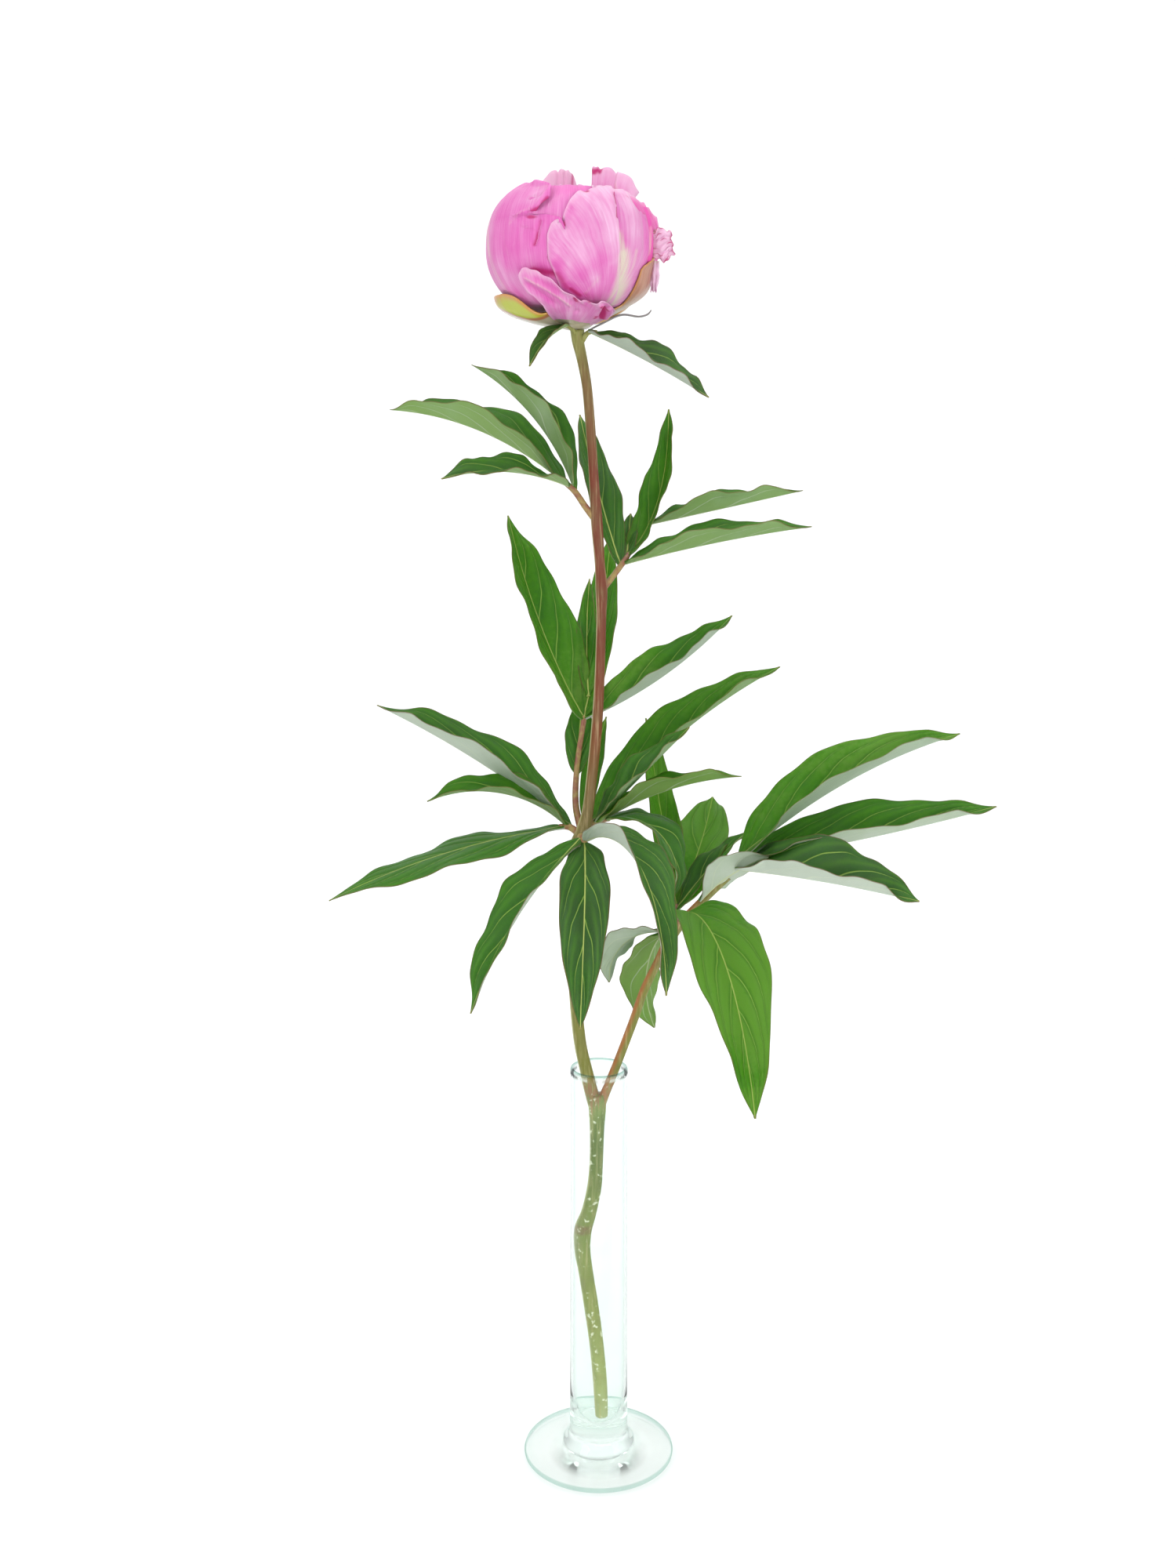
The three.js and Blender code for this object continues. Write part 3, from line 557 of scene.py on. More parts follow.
# %% Growth of a leaflet
RIB_STEPS = 72
HALVES_APART = 1.7
VEIN_SPACING, ROW_SPACING, COLUMN_SPACING = 21.0, 1.4, 1.1
HALF_THICKNESS, KEEL_DEPTH = 0.2, 0.55
dice = np.random.default_rng(5)


def blade(base, azimuth, rise, length, width, fold, **more):
    # Two settings colour a blade: how bright and yellow its upper face is, partly its own tone and
    # partly painted light, set higher for backlit blades and lower for shaded ones; and how far its
    # underside is painted toward white, a painted glare of light off its wax.
    usual = {"droop": 0, "sweep": 0, "roll": 0, "bend": 1, "wave": 1.2, "tone": 0.5, "frost": 0.2}
    grown = dict(base=base, azimuth=azimuth, rise=rise, length=length, width=width, fold=fold)
    return {**usual, **grown, **more}


def midrib(leaf, t):
    """Points of the midrib at the shares t of its length, and the headings there."""
    steps = np.minimum(1, (np.arange(RIB_STEPS + 1) + 0.5) / RIB_STEPS)
    a = np.radians(leaf["azimuth"] + leaf["sweep"] * steps)
    e = np.radians(leaf["rise"] - leaf["droop"] * steps ** leaf["bend"])
    ahead = np.stack([np.cos(e) * np.cos(a), np.cos(e) * np.sin(a), np.sin(e)], -1)
    run = np.vstack([np.zeros(3), np.cumsum(ahead[:-1], axis=0)]) * leaf["length"] / RIB_STEPS
    side = np.stack([-np.sin(a), np.cos(a), np.zeros_like(a)], -1)
    at = np.arange(RIB_STEPS + 1) / RIB_STEPS

    def read(values):
        return np.stack([np.interp(t, at, values[:, k]) for k in range(3)], -1)

    return read(run + np.array(leaf["base"], float)), read(ahead), read(side)


def on_rib(leaf, share):
    return tuple(midrib(leaf, np.array([share]))[0][0])


def blade_shape(t, broad=0.75, drawn=1.0):
    """The width at each share of the length, as a share of the widest place."""
    peak = broad / (broad + drawn)
    return t**broad * (1 - t) ** drawn / (peak**broad * (1 - peak) ** drawn)


# %% The finished leaflet
def leaflet(leaf):
    half_room = leaf["width"] / 2
    rows = int(leaf["length"] / ROW_SPACING) + 8
    columns = 2 * (int(half_room / COLUMN_SPACING) + 5) + 1
    t = np.linspace(0, 1, rows)[:, None] ** 1.1
    s = np.linspace(-1, 1, columns)[None, :]
    u = np.sign(s) * np.abs(s) ** 1.15
    out = np.abs(u)
    rib, ahead, side = midrib(leaf, t[:, 0])
    normal = np.cross(ahead, side)
    turn = (np.radians(leaf["roll"]) * np.minimum(1, 3 * t[:, 0]))[:, None]
    across = side * np.cos(turn) + normal * np.sin(turn)
    up = normal * np.cos(turn) - side * np.sin(turn)

    phases = dice.uniform(0, 2 * np.pi, 6)  # three of them spare
    uneven = 1 + 0.02 * np.sin(17 * t + phases[0] + 2 * (s > 0))
    uneven = uneven + 0.015 * np.sin(31 * t + phases[1] + (s > 0))
    half_width = half_room * blade_shape(t)
    reach = np.maximum(half_width, 0.9 * (1 - 0.6 * t)) * (1 + (uneven - 1) * out)
    angle = np.radians(leaf["fold"]) * np.minimum(1, np.minimum(5 * t, 6 * (1 - t)))
    fold_out = np.sqrt(u**2 + 0.006) - math.sqrt(0.006)
    start = np.where(u > 0, HALVES_APART, 0.0)
    waves = leaf["wave"] * u**2 * np.sin(2 * np.pi * 2.5 * t + start)
    waves = waves + 0.3 * leaf["wave"] * u**4 * np.sin(2 * np.pi * 6.5 * t + phases[2] + start)

    swell = 0.2 * half_width * (out - u**2)
    veins = max(3, round(leaf["length"] / VEIN_SPACING))
    phase = (t - 0.30 * out - 0.22 * out**3) * veins + np.where(u > 0, 0.5, 0.0)
    to_vein = np.abs(phase - np.floor(phase) - 0.5) * 2
    quilt = -0.42 * np.exp(-(((1 - to_vein) / 0.3) ** 2)) * np.minimum(1, half_width / 7)
    quilt = quilt * ease(out, 0.03, 0.15) * (1 - ease(out, 0.85, 1.0))
    lift = fold_out * reach * np.sin(angle) + waves * np.minimum(1, half_width / 6)
    lift = lift + (swell + quilt) * np.cos(angle)
    sideways = -u * reach * np.cos(angle)
    middle = rib[:, None] + across[:, None] * sideways[..., None] + up[:, None] * lift[..., None]

    face = normals(middle, up[:, None])
    root = np.maximum(0, 0.75 * (1 - 7 * t))
    from_rib = out * reach
    groove = 0.12 * np.exp(-((from_rib / 0.7) ** 2))
    keel = KEEL_DEPTH * np.exp(-((from_rib / 0.55) ** 2)) * (1 - t) ** 0.7
    above = np.maximum(root, HALF_THICKNESS - groove)[..., None]
    below = np.maximum(root, HALF_THICKNESS + keel)[..., None]
    measures = {"across": u, "along": t, "breadth": half_width, "veins": veins}
    measures.update(tone=leaf["tone"], frost=leaf["frost"])
    return sheet(middle + face * above, middle - face * below, measures)


# %% [markdown]
# ## Leaf colour
#
# Seen close, a peony leaf is dark green and waxy above and pale grey green below. Its
# midrib and side veins are yellow green, a fine net of veins fills what is between, and a
# thin red line runs round the margin. Light passes through it, so part of the light is
# taken from behind by a translucent shader. The veins follow the formula that quilts the
# leaflet, and a wobble from noise keeps them from looking drawn. The quilting is painted as
# well: painted shade in the hollows by the side veins and a painted highlight on the swells
# between. How bright a blade's upper face is stands partly for how the light falls on it,
# and the palest undersides carry a painted glare.

# %% Where the veins run
leaf_skin = Finish("leaf_blade")
across, along, breadth = leaf_skin.measures("across", "along", "breadth")
veins, under, tone, frost = leaf_skin.measures("veins", "under", "tone", "frost")
offset = across.size()
arcing = along - offset * 0.30 - offset**3 * 0.22
wobble = (leaf_skin.noise(90, 1) - 0.5) * 0.26
phase = arcing * veins + (across.math("SIGN") + 1) * 0.25 + wobble
to_vein = (phase.math("FRACT") - 0.5).size() * 2
side_veins = to_vein.share(0.91, 0.98) * offset.share(0.65, 0.95, 1, 0) * breadth.share(1.5, 4)
main_vein = (offset * breadth - (0.45 - along * 0.28)).share(-0.15, 0.15, 1, 0)
net = leaf_skin.node("TexVoronoi", {"feature": "DISTANCE_TO_EDGE"}, {"Scale": 420.0})
net_veins = net.share(0.02, 0.12, 1, 0)
margin = ((1 - offset) * breadth).share(0.15, 0.4, 1, 0) * along.share(0.02, 0.1)
# Painted shade in the hollows beside the side veins, and a painted highlight on the swells between
# them.
painted_vein_shade = to_vein.share(0.5, 0.95) * offset.share(0.75, 1, 1, 0)
painted_swell_highlight = to_vein.share(0.0, 0.5, 1, 0) * offset.share(0.15, 0.5)

# %% Leaf finish
# The upper greens run from a shaded dark green to a backlit yellow green, and the under greens end
# in a near-white painted glare.
UPPER_GREENS = {0.0: "2c4a22", 0.3: "2f5e1c", 0.6: "306c08", 0.82: "448004", 1.0: "689430"}
UNDER_GREENS = {0.0: "8cad5c", 0.3: "9ab87c", 0.9: "cfdacb"}
cloud, broad_cloud = leaf_skin.noise(70, 4), leaf_skin.noise(16, 2)
fleck = leaf_skin.noise(520, 4)
bright = tone + (broad_cloud - 0.5) * 1.1 + (cloud - 0.5) * 0.75 + (fleck - 0.5) * 0.5
upper = leaf_skin.layers(
    leaf_skin.ramp(bright, UPPER_GREENS),
    (painted_vein_shade * 0.6, "1c4f12"),
    (painted_swell_highlight * 0.3, "5b9322"),
    (net_veins * 0.22, "6fa550"),
    (side_veins * (tone * 0.15 + 0.65), "a9c85c"),
    (main_vein, "c0cd70"),
)
# Painted glare: the underside is lightened toward near white as far as the blade is set, standing in
# for light reflected off its wax.
lower = leaf_skin.layers(
    leaf_skin.ramp(frost + (cloud - 0.5) * 0.5, UNDER_GREENS),
    (net_veins * 0.2, "8aa67c"),
    (side_veins * 0.6, "dbe4c8"),
    (main_vein, "d3dcae"),
)
skin = leaf_skin.layers(upper, (under.share(0.3, 0.7), lower), (margin * 0.6, "7c4a3c"))
relief = leaf_skin.bump((side_veins + main_vein + net_veins * 0.25) * -1, 0.00025, 0.6)
roughness = under.share(0, 1, 0.27, 0.5) + cloud * 0.12
front = leaf_skin.principled(skin, roughness, relief, {"Specular IOR Level": 0.3})
through = leaf_skin.node("BsdfTranslucent", {}, {"Color": "86c21e"})
leaf_finish = leaf_skin.surface(
    leaf_skin.node("MixShader", {}, {0: tone * 0.3 + 0.15, 1: front, 2: through})
)

# %% Petiole finish
petiole_skin = Finish("petiole_skin")
fibres = petiole_skin.noise(260, 4)
skin = petiole_skin.mix(fibres.share(0.35, 0.65), "84513c", "97854a")
relief = petiole_skin.bump(fibres, 0.0002, 0.5)
petiole_finish = petiole_skin.surface(petiole_skin.principled(skin, 0.45, relief))

# %% [markdown]
# ## The leaves
#
# Each compound leaf is a few leaflets on one petiole. The upper leaves stand above the
# camera, so their pale undersides show; the leaves of the big node are seen from above.
# Each list starts with the petiole, and its blades follow.

# %% Leaves of the flowering stem
LEAVES = {}
LEAVES["leaf_upper_left"] = [
    [(-1.3, 0, 434.5, 1.6), (-6, 0, 440.5, 1.4), (-11, 0.5, 447.5, 1.3), (-17, 0, 452.6, 1.1)],
    blade((-15, 0, 451), 153, 37, 96, 30, 48, droop=33, roll=-2, tone=0.6, frost=0.1),
    blade((-10.5, 2, 448), 170, 70, 71, 26, 45, droop=41, roll=-4, tone=0.6, frost=0.3),
    blade((-13, -1, 449.5), 208, 20, 60, 22, 22, droop=36, roll=-22, tone=0.3),
]
arched = blade((12.5, 12, 420), 51, 31, 77, 18, 46, droop=-61, sweep=19, tone=0.7)
LEAVES["leaf_upper_right"] = [
    [(0.8, 0, 405, 1.6), (5.5, 4, 410.5, 1.3), (10.5, 9, 417, 1.3), (13, 13, 420.5, 1.1)],
    blade((9, 8, 415.5), 117, 56, 84, 18, 32, droop=5, sweep=-12, tone=0.3),
    blade((12, 11, 419), 84, 43, 28, 9, 25, tone=0.3),
    arched,
    blade(on_rib(arched, 0.28), 2, 12, 70, 22, 42, tone=0.6),
    blade((11, 8.5, 416.5), 0, 15, 83, 25, 40, droop=8, roll=8, tone=0.6),
]
back_leaflet = blade((-6.8, 22, 346.5), 76, 46, 104, 22, 38, droop=-12, sweep=5, tone=0.7)
LEAVES["leaf_middle"] = [
    [(-8.2, 0.5, 300, 1.7), (-10.4, 6, 309, 1.5), (-10, 15, 325, 1.3), (-6.6, 22.5, 347.5, 1.2)],
    blade((-10, 14, 322), 84, 60, 42, 13, 15, droop=8, wave=0.4),
    blade((-6.8, 22, 346), 138, 52, 104, 34, 32, droop=-20, sweep=-3, tone=0.8),
    back_leaflet,
    blade(on_rib(back_leaflet, 0.12), 97, 61, 60, 12, 34, sweep=-16, tone=0.6),
    blade((-6.8, 22, 346.5), 21, 19, 87, 29, 44, droop=-25, roll=12, tone=0.7, frost=0.9),
]

# %% Leaves of the big node
LEAVES["leaf_lower_left"] = [
    [(-8, 0, 297, 1.8), (-13, 1, 300.5, 1.5), (-17.5, -1.5, 301.3, 1.2)],
    blade((-12.5, 2, 300.5), 171, 38, 103, 30, 47, droop=14, roll=-9, tone=0.4, frost=1),
    blade((-14, 1, 301), 183, 45, 67, 22, 34, droop=68, sweep=3, roll=-14, tone=0.7),
    blade((-15.5, -1, 301), 194, -5, 108, 28, -6, droop=20, sweep=-2, roll=-11, frost=0.8),
]
LEAVES["leaf_lower_front"] = [
    [(-8.4, 0, 297, 1.8), (-7.6, -6, 297, 1.6), (-6.6, -12.5, 296, 1.3)],
    blade((-8, -8, 297), 228, -25, 94, 26, 34, droop=39, sweep=-5, roll=9, tone=0.45, frost=1),
    blade((-6.6, -11, 296), 272, -17, 94, 24, 28, droop=56, sweep=-8, tone=0.1),
    blade(
        (-6.4, -10, 296.5), 299, 26, 112, 24, 40, droop=111, sweep=-15, roll=-21, tone=0.2, frost=1
    ),
]
LEAVES["leaf_lower_right"] = [
    [(-6.5, 0, 299, 1.8), (-2, 3, 302.5, 1.5), (4.5, 1, 304.5, 1.2)],
    blade(
        (-2.5, 3.5, 302.5), 32, 44, 120, 30, 44, droop=22, sweep=-6, roll=10, tone=0.85, frost=0.3
    ),
    blade((-2, 2, 302.8), -8, 46, 60, 19, 40, roll=28, tone=0.55, frost=0.4),
    blade((-1, 1, 302.5), -2, 34, 68, 22, 38, droop=31, roll=-6, tone=0.9, frost=0),
    blade((3.5, 1, 304), 336, 21, 58, 27, 14, droop=137, sweep=3),
]
LEAVES["leaf_narrow_back"] = [
    [(-7, 0, 299, 1.5), (-7, 7, 300, 1.2), (-6.6, 12, 303, 1.1)],
    blade((-6.8, 11, 302), 76, 54, 56, 10, 25, droop=9, sweep=-5, wave=0.5, tone=0.9),
]

# %% Leaves of the right stem
LEAVES["leaf_right_end"] = [
    [(56.5, 0, 277.5, 1.7), (60, 2.5, 282.2, 1.5), (65, 7, 286.3, 1.2)],
    blade((62.5, 6.5, 284.8), 16, 39, 122, 38, 46, droop=26, roll=11, tone=0.85, frost=1),
    blade((62.5, 5, 284.5), 4, 8, 120, 36, 45, droop=-6, sweep=2, roll=16, tone=0.55, frost=0.8),
    blade((59.5, 2, 281.7), 337, -1, 84, 41, 50, droop=8, roll=18, tone=0.2, frost=0.9),
    blade((44.5, -3.4, 268), 2, 48, 37, 20, 26, droop=30, roll=-58, wave=0.5, frost=0.8),
]
LEAVES["leaf_right_hanging"] = [
    [(33.8, -0.8, 253.6, 1.5), (35, -3, 257.5, 1.4), (37, -8, 262.5, 1.2)],
    blade((36, -5, 260), 285, 51, 134, 35, 24, droop=114, sweep=-6, bend=0.5, wave=2, tone=1.05),
]
LEAVES["leaf_right_upright"] = [
    [(33.4, 1, 253.8, 1.5), (34, 6, 259, 1.4), (36, 13, 264, 1.2)],
    blade((35, 10, 262), 66, 30, 79, 34, 28, sweep=12, tone=1),
    blade((34.6, 8, 260.5), 37, 45, 55, 15, 30, droop=20, sweep=3, tone=0.6),
    blade((35, 10, 262), 105, 59, 94, 17, 36, tone=1.1),
]
LEAVES["leaf_right_under"] = [
    [(32.6, 0.4, 251.3, 1.6), (30.5, 5, 252, 1.4), (28, 9, 250.5, 1.1)],
    blade((29, 7, 251), 136, -46, 50, 27, 16, droop=76, tone=0.9, frost=0),
    blade((29.5, 6, 251.5), 165, 5, 42, 20, 16, droop=100, sweep=-8, roll=28, tone=0.4, frost=0.8),
]

# %% Bract leaves below the flower
LEAVES["bract_left"] = [
    [(-9, 0, 510.5, 1.3), (-12, -3.4, 514.3, 1.0), (-14.8, -7, 515.2, 0.8)],
    blade((-13.4, -5.6, 515.6), 236, -17, 34, 10, 32, droop=36, wave=0.4, tone=0.2),
]
LEAVES["bract_right"] = [
    [(-8, 0, 509, 1.3), (-4.8, -3, 512.6, 1.0), (-1.4, -5, 512.6, 0.8)],
    blade((-4.6, -3.4, 513.2), 333, -24, 62, 21, 34, droop=8, roll=10, tone=0.2, frost=1),
]

for name, (petiole, *blades) in LEAVES.items():
    role = "bract" if name.startswith("bract") else "leaf"
    petiole_wears = stem_finish if role == "bract" else petiole_finish
    leaflets = [leaflet(leaf) for leaf in blades]
    dressed = {leaf_finish: leaflets, petiole_wears: [stalk(petiole, 14, 0.8)]}
    piece(name + "_blades", dressed, name)

# %% [markdown]
# One bract has dried to a thin curled hook on the right, grey and matte.

# %% The dried hook
HOOK = [
    (-8, 2.5, 511.8, 0.6), (-4, 7, 515, 0.4), (1, 8.5, 517.7, 0.45), (9.4, 8, 521.2, 0.45),
    (17, 8, 520.5, 0.42), (20.6, 7.6, 521.5, 0.38), (21.9, 7.5, 523.1, 0.25),
]
dry_skin = Finish("dried_bract")
fibres = dry_skin.noise(500, 4)
skin = dry_skin.mix(fibres, "6d6a72", "9a958f")
relief = dry_skin.bump(fibres, 0.0002, 0.6)
dry_finish = dry_skin.surface(dry_skin.principled(skin, 0.75, relief))
piece("dried_hook", {dry_finish: [stalk(HOOK, 10, 0.6)]}, "bract_hook")

# %% [markdown]
# ## The flower's ball
#
# The bloom is half open: its petals still lie on each other like the leaves of a cabbage,
# so each one is a sheet laid on a ball that is a little flat on top. A point of a petal is
# given by two angles, theta up from the bottom of the ball and azimuth round it, and by
# its layer, the distance from the centre as a share of the ball's.

# %% Points on the ball
BLOOM_CENTRE = np.array([-12.5, 0, 545.5])
BLOOM_RADIUS, HEIGHT_ABOVE, HEIGHT_BELOW = 35.5, 29.2, 28.5
SQUARENESS = 0.8


def on_ball(theta, azimuth, layer):
    th, az = np.radians(theta), np.radians(azimuth)
    above = np.cos(th) < 0
    power = np.where(above, SQUARENESS, 1.0)
    level = np.abs(np.cos(th)) ** power
    radius = BLOOM_RADIUS * np.maximum(np.sin(th), 0) ** power
    z = np.where(above, HEIGHT_ABOVE * level, -HEIGHT_BELOW * level)
    point = np.stack([radius * np.cos(az), radius * np.sin(az), z], -1)
    return BLOOM_CENTRE + point * layer[..., None]


def grid(rows, columns):
    """How far along (0 to 1) and across (-1 to 1) a petal its points lie."""
    v, u = np.meshgrid(np.linspace(0, 1, rows), np.linspace(-1, 1, columns), indexing="ij")
    return u, v


# %% [markdown]
# Petals are never one flat pink. Their veins run fanwise from base to rim as fine streaks,
# creases and torn rims are stained magenta, and some parts are nearly cream. Those stains
# belong to places on the flower, so each is a stroke between two points of the ball, and
# every petal point keeps how deep it lies in a stroke. Some strokes deepen the pink, partly
# as deeper colour and partly as painted shade in creases and under overlaps; others fade
# it, partly as paler colour and partly as painted highlights. Stains have a colour of their
# own, and so do the cream strokes, which are partly real cream and partly painted
# highlights along the ridges of folds.


# %% Strokes of colour
def stroke(theta, azimuth, strokes):
    """How far each point lies inside strokes of (azimuth, theta, azimuth, theta, width,
    strength), all in degrees but the last."""
    depth = np.zeros_like(theta)
    for az0, th0, az1, th1, width, strength in strokes:
        narrow = np.sin(np.radians((th0 + th1) / 2))
        px, py = (azimuth - az0) * narrow, theta - th0
        dx, dy = (az1 - az0) * narrow, th1 - th0
        s = np.clip((px * dx + py * dy) / (dx * dx + dy * dy + 1e-6), 0, 1)
        away = np.hypot(px - s * dx, py - s * dy)
        depth = np.maximum(depth, strength * np.exp(-((away / width) ** 2)))
    return depth


# %% A petal's sheet and what it keeps for its finish
STREAKS_APART = 35
PLAIN = dict(pale=0.5, slope=0, deep=0, edge=1, fan=None, deep_and_shaded=[], light=[], stains=[], creams_and_highlights=[])


def petal_sheet(theta, azimuth, layer, u, v, look, thickness=0.4):
    middle = on_ball(theta, azimuth, layer)
    face = normals(middle, middle - BLOOM_CENTRE)
    half = thickness / 2 * (1 - 0.3 * v - 0.4 * np.abs(u) ** 8)[..., None]
    inside = {key: stroke(theta, azimuth, look[key]) for key in ("deep_and_shaded", "light", "stains", "creams_and_highlights")}
    streak = azimuth
    if look["fan"]:
        fan_azimuth, fan_theta = look["fan"]
        sideways = (azimuth - fan_azimuth) * np.sin(np.radians(theta))
        streak = np.degrees(np.arctan2(sideways, np.maximum(theta - fan_theta, 2)))
    # The pallor each point keeps is the petal's own paleness, with the painted shade of its
    # deepening strokes and the painted highlights of its fading strokes.
    measures = {
        "across": streak / STREAKS_APART,
        "along": v,
        "seed": dice.uniform(0, 40),
        "pale": look["pale"] + look["slope"] * u - inside["deep_and_shaded"] + inside["light"],
        "stain": inside["stains"],
        "cream": inside["creams_and_highlights"],
        "deep": look["deep"],
        "rim": np.maximum(v, np.abs(u)) * look["edge"],
    }
    return sheet(middle + face * half, middle - face * half, measures)


def unrest(u, v, ruffle):
    """Gentle dents all over a petal, and ruffles that grow toward its rim."""
    a, b, c, d = dice.uniform(0, 2 * np.pi, 4)
    dents = np.sin(2.1 * u + 3.3 * v + a) * np.sin(3.1 * v - 1.3 * u + b)
    ribs = np.sin(17 * u + 3 * np.sin(2 * v + c)) * (0.3 + 0.7 * v)
    rim = np.maximum(v, np.abs(u)) ** 6
    waves = np.sin(9 * u + 4 * v + c) + 0.6 * np.sin(21 * u - 3 * v + d)
    return 0.010 * dents * v + 0.002 * ribs + ruffle * rim * waves / BLOOM_RADIUS


# %% [markdown]
# ## Petals
#
# Most petals are cut from one pattern: narrow at the base, wide in the middle, round and
# notched at the rim. The ones at the front are panels instead, whose left, right and top
# edges are set angle by angle, because their overlaps make the flower's face. A panel's
# folds are strokes too, whose last number is how far they rise, in millimetres.

# %% A petal from its middle azimuth, span, start and end, notched at the rim
PATTERN = dict(PLAIN, rows=30, columns=31, start=12, tilt=0, root=0.79, slant=0, flare=0, curl=0)
PATTERN.update(lobe=5, lobes=1.5, shift=0, nick=0.8, ruffle=0.5)
RIM_STARTS, WIDEST, TOP_ZONE = 0.62, 1.6, 150


def petal(look):
    look = {**PATTERN, **look}
    u, v = grid(look["rows"], look["columns"])
    start, shift, root = look["start"], look["shift"], look["root"]
    rounded = np.sqrt(1 - (0.95 * u) ** 4)
    notch = look["lobe"] * (0.5 - 0.5 * np.cos(2 * np.pi * look["lobes"] * (u + shift)))
    nicks = look["nick"] * np.sin(13 * u + 5 * shift) * v**4
    full = look["to"] + look["tilt"] * u - start
    end = start + full * (0.4 + 0.6 * rounded) - notch + nicks
    theta = start + (end - start) * v
    widening = np.minimum(WIDEST, 1 / np.sin(np.radians(np.maximum(theta, 90))))
    widening = np.where(theta >= TOP_ZONE, WIDEST, widening)
    spread = 0.45 + 0.55 * np.sin(np.radians(np.minimum(1, 1.5 * v) * 90))
    azimuth = look["azimuth"] + u * look["span"] * widening * spread
    rim = np.maximum(0, v - RIM_STARTS) / (1 - RIM_STARTS)
    lean = look["flare"] * rim**2 + look["curl"] * ease(np.abs(u), 0.6, 1.0) * v
    layer = root + (look["layer"] + look["slant"] * u - root) * ease(v, 0, 0.22)
    layer = layer + lean / BLOOM_RADIUS + unrest(u, v, look["ruffle"])
    return petal_sheet(theta, azimuth, layer, u, v, look)


# %% A panel, whose left and right are (theta, azimuth) and whose top is (u, theta)
PANEL = dict(PLAIN, rows=76, columns=71, start=14, slant=0, flare=0, lift=0, folds=[])
PANEL.update(nick=0.5, ruffle=0.3)
PANEL_ROOT, EDGE_STEPS = 0.86, 161


def soft_edge(u, corners, reach=4):
    """The line through some (place, value) corners, with the corners rounded off."""
    places = np.linspace(-1, 1, EDGE_STEPS)
    line = np.interp(places, *zip(*corners))
    window = np.ones(2 * reach + 1) / (2 * reach + 1)
    return np.interp(u, places, np.convolve(np.pad(line, reach, "edge"), window, "valid"))


def between_edges(look, theta, u):
    left, right = (np.interp(theta, *zip(*look[edge])) for edge in ("left", "right"))
    return left + (right - left) * (u + 1) / 2


def panel(look):
    look = {**PANEL, **look}
    u, v = grid(look["rows"], look["columns"])
    end = soft_edge(u, look["top"]) + look["nick"] * np.sin(19 * u) * v**4
    theta = look["start"] + (end - look["start"]) * v
    azimuth = between_edges(look, theta, u)
    rim = np.maximum(0, v - RIM_STARTS) / (1 - RIM_STARTS)
    lean = look["flare"] * rim**2 + look["lift"] * np.maximum(0, u) ** 3 * v
    layer = look["layer"] + look["slant"] * u + lean / BLOOM_RADIUS
    layer = PANEL_ROOT + (layer - PANEL_ROOT) * ease(v, 0, 0.2) + unrest(u, v, look["ruffle"])
    for *line, rise in look["folds"]:
        layer = layer + stroke(theta, azimuth, [(*line, 1.0)]) * rise / BLOOM_RADIUS
    return petal_sheet(theta, azimuth, layer, u, v, look)


# %% Petals closed over the middle
CENTRE_TUFT = [
    dict(azimuth=45 * i + 20, span=30, start=100, to=178, layer=0.77 + 0.01 * (i % 3), root=0.72,
         lobe=6, shift=0.3 * i, ruffle=0.9, flare=1.2 * (i % 2), pale=0.35)
    for i in range(8)
]
INNER_RING = [
    dict(azimuth=60 * i - 40, span=36, start=70, to=168 - 3 * (i % 2), slant=0.02,
         layer=0.835 + 0.008 * (i % 3), shift=0.37 * i, ruffle=0.7, pale=0.45)
    for i in range(6)
]
SECOND_RING = [
    dict(azimuth=azimuth, span=36, start=60, to=to, layer=0.89, slant=0.02, lobe=4, shift=shift,
         pale=0.4)
    for azimuth, to, shift in [
        (-30, 156, 0.3), (20, 160, 0.5), (72, 156, 0.7), (124, 160, 0.1), (172, 158, 0.9),
    ]
]
closed = CENTRE_TUFT + INNER_RING + SECOND_RING
print(len(closed), "petals closed over the middle")

# %% [markdown]
# The face of the flower has four overlapping panels: a mauve inner petal, the guard petal
# that wraps the left side, the broad light one in front and the cream-streaked one at the
# right. A deep magenta petal shows behind them on the right.

# %% The mauve petal and the cream-streaked one
# On these panels the deepening strokes are partly deeper pink and partly painted shade in creases
# and under overlaps, the fading strokes partly paler pink and partly painted highlights, and some
# cream strokes are painted highlights along the ridges of folds.
MAUVE = dict(
    left=[(14, -142), (140, -142)], right=[(14, -46), (140, -46)], start=24,
    top=[(-1, 130), (-0.5, 135), (0.1, 137), (0.6, 136), (1, 132)],
    layer=0.955, slant=-0.008, pale=0.52, ruffle=0.1, nick=0.2, edge=0.5,
    deep_and_shaded=[(-95, 130, -70, 132, 9, 0.3)],
    creams_and_highlights=[(-96, 122, -104, 112, 3, 0.2)],
)
CREAM_STREAKED = dict(
    left=[(14, -74), (140, -70)],
    right=[(14, -20), (37, -8), (54, -14), (74, -18), (94, -16), (107, -15), (131, -8)],
    top=[(-1, 137), (0, 138), (0.6, 137), (1, 130)],
    layer=0.965, slant=0.01, pale=0.78, rows=84, columns=81, fan=(-46, 24),
    light=[(-40, 120, -42, 96, 6, 0.2)],
    deep_and_shaded=[(-24, 108, -24, 60, 4, 0.35), (-52, 92, -52, 70, 2, 0.3)],
    folds=[(-52, 124, -55, 102, 2.2, -1.1), (-40, 128, -36, 90, 4, 0.5),
        (-30, 124, -28, 80, 3, -0.4)],
    stains=[(-52, 126, -54, 115, 1.5, 1), (-54.5, 111, -55.5, 103, 1.2, 1),
        (-19, 112, -20, 74, 1.6, 0.4)],
    creams_and_highlights=[(-54, 92, -48, 76, 3.5, 0.7), (-50, 80, -44, 58, 6, 0.9),
        (-46, 60, -34, 36, 8, 1), (-38, 84, -38, 50, 2, 0.5)],
)

